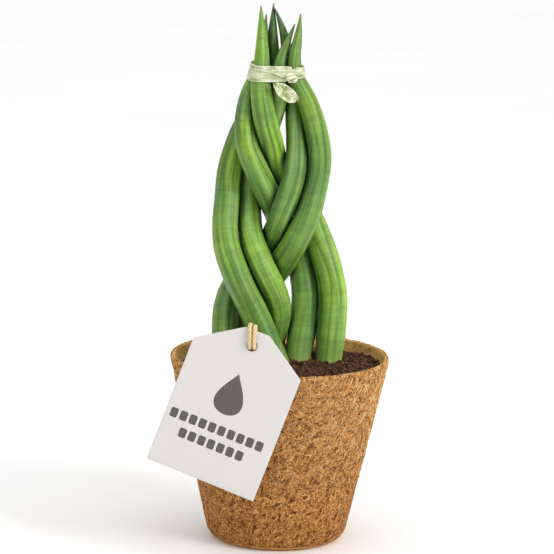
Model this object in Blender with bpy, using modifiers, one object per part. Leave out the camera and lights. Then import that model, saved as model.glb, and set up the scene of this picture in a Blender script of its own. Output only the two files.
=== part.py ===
"""Potted cylinder snake plant: six round leaves plaited as three pairs, tied at the top,
rooted in a coir pot, with a card swing tag hung on a loop of twine.

Metres, +Z up. The origin is the centre of the pot's underside and the front faces -Y.
"""
import math

import bmesh
import bpy
import numpy as np
from mathutils import Matrix, Vector

MM = 0.001

# ---- driving dimensions -------------------------------------------------------------
FIT_GAP = 0.3 * MM              # left between pieces that touch

POT_HEIGHT = 108 * MM
POT_RIM_RADIUS = 63.5 * MM      # outside, at the rim
POT_BASE_RADIUS = 39.5 * MM     # outside, where the wall's line meets the floor
POT_WALL = 2.4 * MM
POT_CORNER = 9 * MM             # outer radius between wall and underside
POT_SIDES = 48

SOIL_CROWN_DROP = 4 * MM        # rim down to the mound that the leaves stand in
SOIL_EDGE_DROP = 11 * MM        # rim down to the soil at the wall
SOIL_CROWN_RADIUS = 32 * MM

LEAF_WIDTH = 16.6 * MM          # across a leaf where it leaves the soil
LEAF_NECK = 12.0 * MM           # what that width has tapered to at the top of the body
LEAF_TIP_WIDTH = 6.0 * MM       # across the pointed tip, TIP_GAUGE below its end
TIP_GAUGE = 20 * MM
LEAF_TIP_POWER = 0.8            # below 1 makes the point bulge a little
LEAF_TIP_END = 0.6 * MM
LEAF_TIP_JOIN = 5               # higher turns the body into the point more sharply
LEAF_ROOT = 34 * MM             # length of leaf under the soil
LEAF_ROOT_SHARE = 0.72          # width of the buried end against LEAF_WIDTH
LEAF_GAP = 0.5 * MM             # least air between two leaves
LEAF_SOIL_GAP = 1.6 * MM        # least air between two leaves in the soil

TIE_RISE = 168 * MM             # middle of the ribbon above the soil's crown
TIE_WIDTH = 8.6 * MM
TIE_THICKNESS = 0.7 * MM
TIE_MARGIN = 2.2 * MM           # of leaf above and below each row of the ribbon
TIE_GAP = 0.5 * MM              # between ribbon and leaves
TIE_SIDES = 56
TIE_ROWS = 5
TIE_KNOT = (6.4 * MM, 3.4 * MM, 5.0 * MM)
TIE_KNOT_ACROSS = 3.4 * MM
TIE_KNOT_RISE = 2.6 * MM        # above the ribbon's lower edge
TIE_TAIL = (17.6 * MM, 1.6 * MM, 7.4 * MM)
TIE_TAIL_SLOPE = math.radians(35)
TIE_TAIL_ACROSS = 4.2 * MM      # its middle, to the left of the knot's
TIE_TAIL_DROP = 1.6 * MM        # air between knot and tail
TIE_TAIL_WINDOWS = 7            # places across the tail where the leaves' front is read

TAG_WIDTH = 64.5 * MM
TAG_LENGTH = 90 * MM
TAG_SHOULDER = 16.5 * MM        # height of the cut corners
TAG_TOP = 14 * MM               # width of the top edge between them
TAG_THICKNESS = 1.0 * MM
TAG_HOLE_CLEARANCE = 0.55 * MM  # round the two strands of twine
TAG_HOLE_DROP = 8.8 * MM        # top edge down to the hole's centre
TAG_HOLE_ABOVE_RIM = 17.5 * MM
TAG_HOLE_ACROSS = -15.5 * MM
TAG_TURN = math.radians(19.5)   # clockwise, seen from the front
TAG_YAW = math.radians(-6)      # turned to lie against the round rim
TAG_LEAN = math.radians(5)      # top leaning towards the plant

TWINE_DIAMETER = 2.3 * MM
TWINE_STRAND_GAP = 0.4 * MM     # between the two strands in the hole
TWINE_LOOP_RISE = 8 * MM        # of the loop round the leaf, above the soil's crown
TWINE_BEND_RISE = 0.7 * MM      # air over the card's top edge
TWINE_SAG = 1.6 * MM
TWINE_END = 1.6 * MM            # of twine between the card's back and the knot
TWINE_KNOT = (6.6 * MM, 4.95 * MM, 5.6 * MM)
TWINE_KNOT_DROP = 0.4 * MM      # below the hole's centre
TWINE_STATIONS = 100

# Each leaf's middle line, in mm: (rise above the soil's crown, across, depth).
# Going up, each pair passes in front of one neighbour and then behind the other.
LEAF_ROUTES = {
    "leaf_left_outer": [
        (0, -31, -5), (19, -32, -5), (32, -31.5, -1), (42, -28, 5), (52, -21.5, 9),
        (62, -13.5, 7.5), (72, -7, 0), (82, -2.8, -7.5), (91, 0.3, -9.5), (101, 3.8, -9),
        (111, 6, -7), (124, 7.1, -2), (141, 5.6, 2.5), (153, 4.2, 5), (164, 1.2, 6),
        (180, 0.3, 6), (192, -2.5, 5), (204, -7.1, 3)],
    "leaf_left_inner": [
        (0, -22.5, 13), (16, -22.5, 13), (28, -19.5, 12.5), (38, -13, 11), (48, -6.3, 7),
        (58, -0.3, 0), (68, 5, -7), (78, 9.5, -10.5), (90, 14.5, -10), (101, 17.3, -7),
        (112, 18.9, -4.5), (124, 18.8, -3.5), (142, 16, -3), (154, 11.8, -3.5),
        (165, 5.6, -4.5), (177, 4.2, -4.5), (188, 6.2, -3), (202, 7.6, -1)],
    "leaf_middle_outer": [
        (0, -2, -14), (12, -7, -15.5), (26, -12.6, -16), (39, -18.6, -15.5), (52, -24.6, -13.5),
        (65, -29.6, -10), (79, -32, -5), (95, -32, 1), (110, -31.1, 4), (122, -27.4, 7.5),
        (134, -22, 9.5), (146, -16.2, 10), (158, -11, 9), (168, -8.6, 8), (182, -8.4, 6.5),
        (207, -7.9, 4)],
    "leaf_middle_inner": [
        (0, -6, 12), (12, -4.5, 6), (24, -1.6, -1.5), (35, -1.8, -5.5), (45, -5.2, -7.5),
        (56, -11, -7.5), (68, -15.6, -4), (81, -18.6, 3), (95, -19.8, 10), (109, -19.2, 12),
        (123, -15.7, 11), (138, -9.7, 7), (150, -4.6, 1), (163, -4.2, -4.5), (174, -3.2, -5),
        (184, 0.2, -3), (196, 4.5, -1)],
    "leaf_right_inner": [
        (0, 11.5, 0), (12, 11.2, 1), (24, 12.6, 3), (37, 14, 4.5), (50, 12.2, 7),
        (62, 8.6, 9.5), (73, 3.8, 10.5), (82, -0.2, 9), (90, -4.4, 3.5), (98, -8.6, -2),
        (106, -12.3, -5.5), (115, -16.2, -8), (126, -20.4, -8.5), (140, -22.2, -6),
        (153, -20.7, -1), (165, -15.9, 3), (177, -13.6, 4.5), (201, -11.8, 3.5)],
    "leaf_right_outer": [
        (0, 27.5, 0), (12, 28.6, 0), (26, 30, 0), (40, 30, 0), (54, 27.2, 2), (66, 23, 5.5),
        (78, 17.3, 9), (90, 10.2, 10), (101, 3, 8.5), (110, -2.2, 4), (118, -4.8, -2),
        (126, -7, -7), (138, -10.6, -10.5), (152, -13.4, -9.5), (164, -14.3, -6.5),
        (176, -13.9, -5), (206, -15, 0)],
}
# A leaf that grew thinner or thicker than LEAF_WIDTH, as a share of it.
LEAF_SHARES = {"leaf_left_outer": 0.92, "leaf_right_outer": 1.03}
SPLINE_STEPS = 132              # fine stations along a leaf while the plait is settled
STATION_STRIDE = 3              # every third one is kept in the solid
SETTLE_ROUNDS = 400
SETTLE_SHORT = 0.02 * MM        # the pushing stops when no gap is shorter by more
SETTLE_PASSES = (40, 6)         # smoothing of each round's push, early and late
SOIL_BLEND = 8 * MM             # height over which the soil's gap becomes the open one
ACROSS_SHARE = 0.12             # settling moves leaves in depth more than across
SOCKET_ABOVE = 9 * MM           # the socket's cutter stands this far above the crown


def clear_scene():
    for item in list(bpy.data.objects):
        bpy.data.objects.remove(item, do_unlink=True)


def new_collection(name):
    collection = bpy.data.collections.new(name)
    bpy.context.scene.collection.children.link(collection)
    return collection


def material(name, colour, roughness, metallic=0.0):
    made = bpy.data.materials.new(name)
    made.use_nodes = True
    shader = made.node_tree.nodes["Principled BSDF"]
    shader.inputs["Base Color"].default_value = (*colour, 1.0)
    shader.inputs["Roughness"].default_value = roughness
    shader.inputs["Metallic"].default_value = metallic
    return made


def add_object(name, data, collection, finish=None):
    made = bpy.data.objects.new(name, data)
    if finish is not None:
        data.materials.append(finish)
    collection.objects.link(made)
    return made


def turned(name, profile, collection, finish):
    """A solid of revolution about Z: the profile of (radius, height) points is screwed
    round a full turn. It runs down the outer side, top to bottom."""
    mesh = bpy.data.meshes.new(name)
    points = [(radius, 0.0, height) for radius, height in profile]
    edges = [(index, index + 1) for index in range(len(points) - 1)]
    mesh.from_pydata(points, edges, [])
    made = add_object(name, mesh, collection, finish)
    screw = made.modifiers.new("turn", "SCREW")
    screw.steps = POT_SIDES
    screw.render_steps = POT_SIDES
    screw.use_merge_vertices = True
    screw.merge_threshold = 0.05 * MM
    screw.use_smooth_shade = True
    return made


def arc(centre, radius, start, end, steps):
    """Points on a circle round centre from angle start to end, in degrees."""
    angles = np.radians(np.linspace(start, end, steps + 1))
    return [(centre[0] + radius * math.cos(a), centre[1] + radius * math.sin(a)) for a in angles]


def smooth_route(points, count):
    """A smooth curve through the points (Catmull-Rom on chord lengths), returned as
    count stations at equal steps of its length."""
    points = np.asarray(points, dtype=float)
    ahead = 2 * points[-1] - points[-2]
    behind = 2 * points[0] - points[1]
    padded = np.vstack([behind, points, ahead])
    knots = np.concatenate([[0.0], np.cumsum(np.linalg.norm(np.diff(padded, axis=0), axis=1))])
    dense = []
    for index in range(1, len(padded) - 2):
        k0, k1, k2, k3 = knots[index - 1:index + 3]
        p0, p1, p2, p3 = padded[index - 1:index + 3]
        t = np.linspace(k1, k2, 24, endpoint=False)[:, None]
        a1 = (k1 - t) / (k1 - k0) * p0 + (t - k0) / (k1 - k0) * p1
        a2 = (k2 - t) / (k2 - k1) * p1 + (t - k1) / (k2 - k1) * p2
        a3 = (k3 - t) / (k3 - k2) * p2 + (t - k2) / (k3 - k2) * p3
        b1 = (k2 - t) / (k2 - k0) * a1 + (t - k0) / (k2 - k0) * a2
        b2 = (k3 - t) / (k3 - k1) * a2 + (t - k1) / (k3 - k1) * a3
        dense.append((k2 - t) / (k2 - k1) * b1 + (t - k1) / (k2 - k1) * b2)
    dense = np.vstack(dense + [points[-1:]])
    return equal_steps(dense, count)


def equal_steps(points, count):
    """The same line again as count points, the same distance apart along it."""
    run = np.concatenate([[0.0], np.cumsum(np.linalg.norm(np.diff(points, axis=0), axis=1))])
    wanted = np.linspace(0.0, run[-1], count)
    return np.stack([np.interp(wanted, run, points[:, axis]) for axis in range(3)], axis=1)


def tube(name, points, radii, collection, finish, sides_level):
    """A POLY curve with a round bevel whose radius changes from point to point."""
    curve = bpy.data.curves.new(name, "CURVE")
    curve.dimensions = "3D"
    curve.bevel_depth = 1.0
    curve.bevel_resolution = sides_level
    curve.use_fill_caps = True
    curve.twist_mode = "MINIMUM"
    spline = curve.splines.new("POLY")
    spline.points.add(len(points) - 1)
    for target, point, radius in zip(spline.points, points, radii):
        target.co = (*point, 1.0)
        target.radius = radius
    return add_object(name, curve, collection, finish)


def as_mesh(source, collection):
    """The curve object made a mesh with its end caps joined on; the curve is removed."""
    graph = bpy.context.evaluated_depsgraph_get()
    mesh = bpy.data.meshes.new_from_object(source.evaluated_get(graph))
    shape = bmesh.new()
    shape.from_mesh(mesh)
    bmesh.ops.remove_doubles(shape, verts=shape.verts, dist=0.005 * MM)
    bmesh.ops.recalc_face_normals(shape, faces=shape.faces)
    shape.to_mesh(mesh)
    shape.free()
    name = source.name
    place = source.matrix_world.copy()
    bpy.data.objects.remove(source, do_unlink=True)
    made = add_object(name, mesh, collection)
    made.matrix_world = place
    return made


def cut(target, cutter):
    cutter.hide_render = True
    cutter.display_type = "WIRE"
    boolean = target.modifiers.new("cut_" + cutter.name, "BOOLEAN")
    boolean.operation = "DIFFERENCE"
    boolean.solver = "EXACT"
    boolean.object = cutter


# ---- pot and soil -------------------------------------------------------------------
CROWN_HEIGHT = POT_HEIGHT - SOIL_CROWN_DROP
WALL_SLOPE = (POT_RIM_RADIUS - POT_BASE_RADIUS) / POT_HEIGHT
WALL_ANGLE = math.degrees(math.atan(WALL_SLOPE))
TIE_HEIGHT = CROWN_HEIGHT + TIE_RISE
TWINE_SPREAD = (TWINE_DIAMETER + TWINE_STRAND_GAP) / 2
TAG_HOLE_RADIUS = TWINE_SPREAD + TWINE_DIAMETER / 2 + TAG_HOLE_CLEARANCE


def wall_radius(height, inset=0.0):
    """Radius of the pot's outer wall at a height, less an inset square to the wall."""
    return POT_BASE_RADIUS + WALL_SLOPE * height - inset * math.hypot(1.0, WALL_SLOPE)


def corner_arc(inset):
    """The round between wall and underside, parallel to the outer one and inset from it:
    (points from wall to underside, height where it starts)."""
    radius = max(POT_CORNER - inset, 1.5 * MM)
    middle_height = inset + radius
    middle = (wall_radius(middle_height, inset + radius), middle_height)
    return arc(middle, radius, -WALL_ANGLE, -90, 6)


def build_pot(collection, finish):
    lip = POT_WALL / 2
    lip_height = POT_HEIGHT - lip
    lip_middle = (wall_radius(lip_height, lip), lip_height)
    inner_floor = corner_arc(POT_WALL)[::-1]
    rim = arc(lip_middle, lip, 180 - WALL_ANGLE, -WALL_ANGLE, 6)
    profile = [(0.0, POT_WALL)] + inner_floor + rim + corner_arc(0.0) + [(0.0, 0.0)]
    return turned("coir_pot", profile, collection, finish)


def soil_height(radius):
    """Height of the soil's surface: level under the leaves, then easing down to the wall."""
    edge = wall_radius(POT_HEIGHT - SOIL_EDGE_DROP, POT_WALL)
    share = min(max((radius - SOIL_CROWN_RADIUS) / (edge - SOIL_CROWN_RADIUS), 0.0), 1.0)
    fall = share * share * (3 - 2 * share)
    return CROWN_HEIGHT - (SOIL_EDGE_DROP - SOIL_CROWN_DROP) * fall


def build_soil(collection, finish):
    inset = POT_WALL + FIT_GAP
    edge_height = POT_HEIGHT - SOIL_EDGE_DROP
    edge = wall_radius(edge_height, inset)
    radii = np.linspace(SOIL_CROWN_RADIUS, edge, 6)
    top = [(0.0, CROWN_HEIGHT)] + [(float(r), soil_height(float(r))) for r in radii]
    profile = top + corner_arc(inset) + [(0.0, inset)]
    return turned("potting_soil", profile, collection, finish)


# ---- leaves -------------------------------------------------------------------------
def leaf_radii(points, share_of_width):
    """Half width at each station. The body tapers evenly from the soil upwards, the point
    follows a power of the distance from its end, and a soft minimum joins the two. The
    buried end narrows towards the root."""
    steps = np.linalg.norm(np.diff(points, axis=0), axis=1)
    run = np.concatenate([[0.0], np.cumsum(steps)])
    to_tip = run[-1] - run
    height = points[:, 2] - CROWN_HEIGHT
    body_length = run[-1] - LEAF_ROOT
    share = np.clip(to_tip / body_length, 0.0, 1.0)
    body = LEAF_NECK + (LEAF_WIDTH - LEAF_NECK) * share
    point = LEAF_TIP_WIDTH * (np.maximum(to_tip, 0.01 * MM) / TIP_GAUGE) ** LEAF_TIP_POWER
    width = (body ** -LEAF_TIP_JOIN + point ** -LEAF_TIP_JOIN) ** (-1 / LEAF_TIP_JOIN)
    buried = np.clip(-height / LEAF_ROOT, 0.0, 1.0)
    width = width * (1 - (1 - LEAF_ROOT_SHARE) * buried)
    return np.maximum(width * share_of_width, LEAF_TIP_END) / 2


def leaf_points(route):
    points = np.array([(across, depth, rise) for rise, across, depth in route]) * MM
    points[:, 2] += CROWN_HEIGHT
    root = points[0] - np.array([0.0, 0.0, LEAF_ROOT])
    middle = points[0] - np.array([0.0, 0.0, LEAF_ROOT / 2])
    return smooth_route(np.vstack([root, middle, points]), SPLINE_STEPS + 1)


def smoothed(values, passes):
    """Each station's push shared with its neighbours, so a leaf bends and doesn't kink."""
    for _ in range(passes):
        padded = np.vstack([values[:1], values, values[-1:]])
        values = (padded[:-2] + 2 * padded[1:-1] + padded[2:]) / 4
    return values


def settle(lines, radii):
    """Leaves that would share space are pushed apart, sideways only, a little each round,
    until every pair has its gap. This keeps the plait sound at any leaf width."""
    names = list(lines)
    for turn in range(SETTLE_ROUNDS):
        pushes = {name: np.zeros_like(lines[name]) for name in names}
        worst = 0.0
        for first in range(len(names)):
            for second in range(first + 1, len(names)):
                a, b = names[first], names[second]
                between = lines[a][:, None, :] - lines[b][None, :, :]
                apart = np.linalg.norm(between, axis=2)
                under = CROWN_HEIGHT + SOIL_BLEND / 2 - lines[a][:, 2]
                soil_share = np.clip(under / SOIL_BLEND, 0, 1)
                gap = LEAF_GAP + (LEAF_SOIL_GAP - LEAF_GAP) * soil_share
                short = radii[a][:, None] + radii[b][None, :] + gap[:, None] - apart
                worst = max(worst, float(short.max()))
                aside = between * np.array([ACROSS_SHARE, 1.0, 0.0])
                aside /= np.maximum(np.linalg.norm(aside, axis=2), 1e-6)[:, :, None]
                for name, axis, sign in ((a, 1, 1.0), (b, 0, -1.0)):
                    nearest = short.argmax(axis=axis)
                    every = np.arange(len(nearest))
                    picks = (every, nearest) if axis == 1 else (nearest, every)
                    depth = np.maximum(short[picks], 0.0)
                    pushes[name] += sign * 0.5 * depth[:, None] * aside[picks]
        if worst < SETTLE_SHORT:
            break
        passes = SETTLE_PASSES[0] if turn < SETTLE_ROUNDS / 2 else SETTLE_PASSES[1]
        for name in names:
            lines[name] += smoothed(pushes[name], passes)
    return lines


def build_leaves(collection, finish):
    lines = {name: leaf_points(route) for name, route in LEAF_ROUTES.items()}
    radii = {name: leaf_radii(line, LEAF_SHARES.get(name, 1.0)) for name, line in lines.items()}
    lines = settle(lines, radii)
    kept_lines = {name: line[::STATION_STRIDE] for name, line in lines.items()}
    kept_radii = {name: radius[::STATION_STRIDE] for name, radius in radii.items()}
    for name, line in kept_lines.items():
        tube(name, line, kept_radii[name], collection, finish, 4)
    return kept_lines, kept_radii


def cut_sockets(soil, lines, radii, cutters):
    """A socket in the soil for each leaf's buried end, FIT_GAP wider all round."""
    for name, line in lines.items():
        inside = line[:, 2] < CROWN_HEIGHT + SOCKET_ABOVE
        points = line[inside].copy()
        points[0, 2] -= FIT_GAP
        socket = tube(name + "_socket", points, radii[name][inside] + FIT_GAP, cutters, None, 4)
        cut(soil, as_mesh(socket, cutters))


# ---- ribbon tie ---------------------------------------------------------------------
def hull(points):
    """Convex outline of flat points, anticlockwise (Andrew's monotone chain)."""
    ordered = sorted(set((round(float(x), 7), round(float(y), 7)) for x, y in points))

    def half(sequence):
        chain = []
        for point in sequence:
            while len(chain) > 1:
                (ax, ay), (bx, by) = chain[-2], chain[-1]
                if (bx - ax) * (point[1] - ay) - (by - ay) * (point[0] - ax) > 0:
                    break
                chain.pop()
            chain.append(point)
        return chain

    return half(ordered)[:-1] + half(ordered[::-1])[:-1]


def fine_stations(line, radii):
    """The leaf's solid again at finer steps: (points, half widths level across)."""
    fine = equal_steps(line, SPLINE_STEPS + 1)
    share = np.linspace(0.0, 1.0, len(line))
    widths = np.interp(np.linspace(0.0, 1.0, len(fine)), share, radii)
    along = np.gradient(fine, axis=0)
    upright = np.abs(along[:, 2]) / np.linalg.norm(along, axis=1)
    return fine, widths / np.maximum(upright, 0.5)


def tie_centre(lines):
    """The middle of the leaves at the height of the tie."""
    places = [[np.interp(TIE_HEIGHT, line[:, 2], line[:, axis]) for axis in (0, 1)]
              for line in lines.values()]
    return np.mean(places, axis=0)


def tie_outline(lines, radii, height):
    """The ribbon's inner outline at one height: a string pulled round all the leaves there,
    read at TIE_SIDES even angles about the middle of the tie."""
    centre = tie_centre(lines)
    around = np.radians(np.arange(0, 360, 10))
    ring = np.stack([np.cos(around), np.sin(around)], axis=1)
    points = []
    for name, line in lines.items():
        fine, widths = fine_stations(line, radii[name])
        near = np.abs(fine[:, 2] - height) < TIE_MARGIN
        for point, width in zip(fine[near], widths[near]):
            points.extend(point[:2] + ring * (width + TIE_GAP))
    outline = np.array(hull(points))
    closed = np.vstack([outline, outline[:1]])
    level = np.column_stack([closed, np.zeros(len(closed))])
    dense = equal_steps(level, 721)[:-1, :2] - centre
    angle = np.arctan2(dense[:, 1], dense[:, 0])
    order = np.argsort(angle)
    wanted = np.linspace(-math.pi, math.pi, TIE_SIDES, endpoint=False)
    reach = np.interp(wanted, angle[order], np.linalg.norm(dense[order], axis=1), period=2 * math.pi)
    return centre + reach[:, None] * np.stack([np.cos(wanted), np.sin(wanted)], axis=1)


def build_tie(lines, radii, collection, finish):
    """The ribbon as a closed band. Returns the points of its inner face."""
    heights = np.linspace(TIE_HEIGHT - TIE_WIDTH / 2, TIE_HEIGHT + TIE_WIDTH / 2, TIE_ROWS)
    outlines = [tie_outline(lines, radii, height) for height in heights]
    points = [(x, y, z) for outline, z in zip(outlines, heights) for x, y in outline]
    faces = []
    for row in range(len(heights) - 1):
        for index in range(TIE_SIDES):
            after = (index + 1) % TIE_SIDES
            faces.append((row * TIE_SIDES + index, row * TIE_SIDES + after,
                          (row + 1) * TIE_SIDES + after, (row + 1) * TIE_SIDES + index))
    mesh = bpy.data.meshes.new("tie_band")
    mesh.from_pydata(points, [], faces)
    band = add_object("tie_band", mesh, collection, finish)
    wall = band.modifiers.new("ribbon", "SOLIDIFY")
    wall.thickness = TIE_THICKNESS
    wall.offset = 1.0
    return np.array(points)


def ellipsoid(name, size, place, turn, collection, finish, detail):
    shape = bmesh.new()
    bmesh.ops.create_uvsphere(shape, u_segments=detail, v_segments=detail // 2, radius=0.5)
    bmesh.ops.scale(shape, vec=Vector(size), verts=shape.verts)
    mesh = bpy.data.meshes.new(name)
    shape.to_mesh(mesh)
    shape.free()
    made = add_object(name, mesh, collection, finish)
    made.location = place
    made.rotation_euler = turn
    mesh.shade_smooth()
    return made


def front_of(lines, radii, band, across, heights):
    """The least depth that any leaf or the ribbon reaches inside a window of across and
    height."""
    front = 0.0
    for name, line in lines.items():
        fine, widths = fine_stations(line, radii[name])
        inside = (fine[:, 2] > heights[0]) & (fine[:, 2] < heights[1])
        for point, width in zip(fine[inside], widths[inside]):
            aside = max(across[0] - point[0], point[0] - across[1], 0.0)
            if aside < width:
                front = min(front, point[1] - math.sqrt(width * width - aside * aside))
    near = (band[:, 0] > across[0] - 1 * MM) & (band[:, 0] < across[1] + 1 * MM)
    near &= (band[:, 2] > heights[0]) & (band[:, 2] < heights[1])
    if near.any():
        front = min(front, float(band[near, 1].min()) - TIE_THICKNESS)
    return front


def build_tie_ends(lines, radii, band, collection, finish):
    """The knot on the front of the ribbon and the flat crumpled end that hangs from it.
    The end lies in the plane that just clears the leaves behind it, so it is yawed about Z
    by the slope of their fronts."""
    knot_height = TIE_HEIGHT - TIE_WIDTH / 2 + TIE_KNOT_RISE
    half_knot = TIE_KNOT[0] / 2
    knot_front = front_of(lines, radii, band, (TIE_KNOT_ACROSS - half_knot, TIE_KNOT_ACROSS + half_knot),
                          (knot_height - TIE_KNOT[2] / 2, knot_height + TIE_KNOT[2] / 2))
    knot_depth = knot_front - FIT_GAP - TIE_KNOT[1] / 2
    ellipsoid("tie_knot", TIE_KNOT, (TIE_KNOT_ACROSS, knot_depth, knot_height),
              (0.0, 0.0, 0.0), collection, finish, 16)
    tail_across = TIE_KNOT_ACROSS - TIE_TAIL_ACROSS
    tail_height = knot_height - TIE_KNOT[2] / 2 - TIE_TAIL[2] / 2 - TIE_TAIL_DROP
    reach = TIE_TAIL[0] / 2 * math.cos(TIE_TAIL_SLOPE)
    places = np.linspace(-reach, reach, TIE_TAIL_WINDOWS)
    half_window = reach / (TIE_TAIL_WINDOWS - 1)
    fronts = []
    for place in places:
        share = min(abs(place) / reach, 0.9)
        half_height = TIE_TAIL[2] / 2 * math.sqrt(1 - share * share) + 1 * MM
        height = tail_height - place * math.tan(TIE_TAIL_SLOPE)
        across = (tail_across + place - half_window, tail_across + place + half_window)
        fronts.append(front_of(lines, radii, band, across, (height - half_height, height + half_height)))
    slope = float(np.polyfit(places, fronts, 1)[0])
    clear = float(np.min(np.array(fronts) - slope * places))
    yaw = math.atan(slope)
    depth = clear - (FIT_GAP + TIE_TAIL[1] / 2) / math.cos(yaw)
    ellipsoid("tie_tail", TIE_TAIL, (tail_across, depth, tail_height),
              (0.0, TIE_TAIL_SLOPE, yaw), collection, finish, 20)


# ---- tag and twine ------------------------------------------------------------------
def tag_frame():
    """The tag's hole as a frame: columns are the tag's level direction across, its
    outward normal and its direction up, before the card is turned in its own plane."""
    turn = Matrix.Rotation(TAG_YAW, 4, "Z") @ Matrix.Rotation(-TAG_LEAN, 4, "X")
    across = (turn @ Vector((1, 0, 0))).normalized()
    outward = (turn @ Vector((0, -1, 0))).normalized()
    up = (turn @ Vector((0, 0, 1))).normalized()
    # the back of the card passes the rim with FIT_GAP, at the rim's nearest point
    flat = Vector((outward.x, outward.y, 0.0))
    rim_point = flat.normalized() * POT_RIM_RADIUS + Vector((0.0, 0.0, POT_HEIGHT))
    plane = rim_point.dot(outward) + FIT_GAP + TAG_THICKNESS / 2
    hole = Vector((TAG_HOLE_ACROSS, 0.0, POT_HEIGHT + TAG_HOLE_ABOVE_RIM))
    hole.y = (plane - hole.x * outward.x - hole.z * outward.z) / outward.y
    return hole, across, outward, up


def build_tag(collection, finish):
    """A card with two cut upper corners and a punched hole: a flat curve, extruded."""
    half = TAG_WIDTH / 2
    top = TAG_HOLE_DROP
    bottom = top - TAG_LENGTH
    shoulder = top - TAG_SHOULDER
    corners = [(-TAG_TOP / 2, top), (-half, shoulder), (-half, bottom),
               (half, bottom), (half, shoulder), (TAG_TOP / 2, top)]
    hole_ring = arc((0.0, 0.0), TAG_HOLE_RADIUS, 0, 345, 23)
    curve = bpy.data.curves.new("tag_card", "CURVE")
    curve.dimensions = "2D"
    curve.fill_mode = "BOTH"
    curve.extrude = TAG_THICKNESS / 2
    for outline in (corners, hole_ring):
        spline = curve.splines.new("POLY")
        spline.points.add(len(outline) - 1)
        for target, (x, y) in zip(spline.points, outline):
            target.co = (x, y, 0.0, 1.0)
        spline.use_cyclic_u = True
    card = add_object("tag_card", curve, collection, finish)
    hole, across, outward, up = tag_frame()
    axes = Matrix((across, up, outward)).transposed().to_4x4()
    card.matrix_world = Matrix.Translation(hole) @ axes @ Matrix.Rotation(-TAG_TURN, 4, "Z")
    return card


def twine_route(lines, radii):
    """The twine's middle line, from behind the hole, through it, up and over the card's
    top edge, back round the left outer leaf, and the same way home beside itself."""
    hole, across, outward, up = tag_frame()
    radius = TWINE_DIAMETER / 2
    face = TAG_THICKNESS / 2 + FIT_GAP + radius

    def strand(side):
        """(up, outward) steps along one strand, set off to one side of the hole. The card's
        top edge slants, so each strand goes over it at its own height."""
        edge = TAG_HOLE_DROP / math.cos(TAG_TURN) - side * TWINE_SPREAD * math.tan(TAG_TURN)
        over = edge + radius + TWINE_BEND_RISE
        steps = [(-TWINE_KNOT_DROP, -face - TWINE_END), (-0.7 * MM, -face + 0.6 * MM),
                 (-0.9 * MM, 0.2 * MM), (-0.2 * MM, face * 0.9), (2.2 * MM, face + 0.35 * MM),
                 (edge - 3.2 * MM, face + 0.3 * MM), (edge - 0.4 * MM, face + 0.2 * MM),
                 (over, face * 0.45), (over + 0.2 * MM, -face * 0.6),
                 (edge + 0.6 * MM, -face - 1.2 * MM)]
        return [hole + across * (side * TWINE_SPREAD) + up * rise + outward * out
                for rise, out in steps]

    line = lines["leaf_left_outer"]
    loop_height = CROWN_HEIGHT + TWINE_LOOP_RISE
    centre = Vector([float(np.interp(loop_height, line[:, 2], line[:, axis])) for axis in range(2)]
                    + [loop_height])
    leaf_radius = float(np.interp(loop_height, line[:, 2], radii["leaf_left_outer"]))
    ring = leaf_radius * 1.02 + FIT_GAP + radius
    left, right = strand(-1), strand(1)
    towards = (left[-1] + right[-1]) / 2 - centre
    heading = math.atan2(towards.y, towards.x)
    # the strands run in to both sides of the leaf, so the loop covers its far side only
    around = np.radians(np.linspace(62, 298, 13))
    loop = [centre + Vector((ring * math.cos(heading - a), ring * math.sin(heading - a), 0.0))
            for a in around]
    sag = Vector((0.0, 0.0, -TWINE_SAG))

    def between(start, end):
        return [start.lerp(end, share) + sag * (4 * share * (1 - share))
                for share in (0.2, 0.5, 0.8)]

    route = left + between(left[-1], loop[0]) + loop
    route += between(loop[-1], right[-1]) + right[::-1]
    return route


def build_twine(lines, radii, collection, finish):
    route = twine_route(lines, radii)
    points = smooth_route(route, TWINE_STATIONS)
    tube("tag_twine", points, [TWINE_DIAMETER / 2] * len(points), collection, finish, 2)
    hole, across, outward, up = tag_frame()
    behind = TAG_THICKNESS / 2 + FIT_GAP + TWINE_DIAMETER / 2 + TWINE_END
    place = hole - outward * (behind + FIT_GAP + TWINE_KNOT[1] / 2) - up * TWINE_KNOT_DROP
    ellipsoid("twine_knot", TWINE_KNOT, place, (-TAG_LEAN, 0.0, TAG_YAW), collection, finish, 16)


# ---- assembly -----------------------------------------------------------------------
def main():
    clear_scene()
    plant = new_collection("potted_snake_plant")
    cutters = new_collection("cutters")
    coir = material("coir_fibre", (0.44, 0.23, 0.075), 0.95)
    earth = material("potting_soil", (0.055, 0.028, 0.016), 1.0)
    green = material("leaf_green", (0.12, 0.27, 0.045), 0.45)
    ribbon = material("pale_ribbon", (0.68, 0.72, 0.42), 0.4)
    card = material("tag_card", (0.80, 0.77, 0.75), 0.75)
    jute = material("tag_twine", (0.78, 0.62, 0.38), 0.9)

    build_pot(plant, coir)
    soil = build_soil(plant, earth)
    lines, radii = build_leaves(plant, green)
    cut_sockets(soil, lines, radii, cutters)
    band = build_tie(lines, radii, plant, ribbon)
    build_tie_ends(lines, radii, band, plant, ribbon)
    build_tag(plant, card)
    build_twine(lines, radii, plant, jute)


main()
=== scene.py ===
"""Looks of the plaited cylinder snake plant in its coir pot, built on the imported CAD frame.

Metres, +Z up, the front faces -Y. New surfaces are grids of points worked out with numpy.
"""

import math

import bpy
import numpy as np
from mathutils import Matrix, Vector


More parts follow.
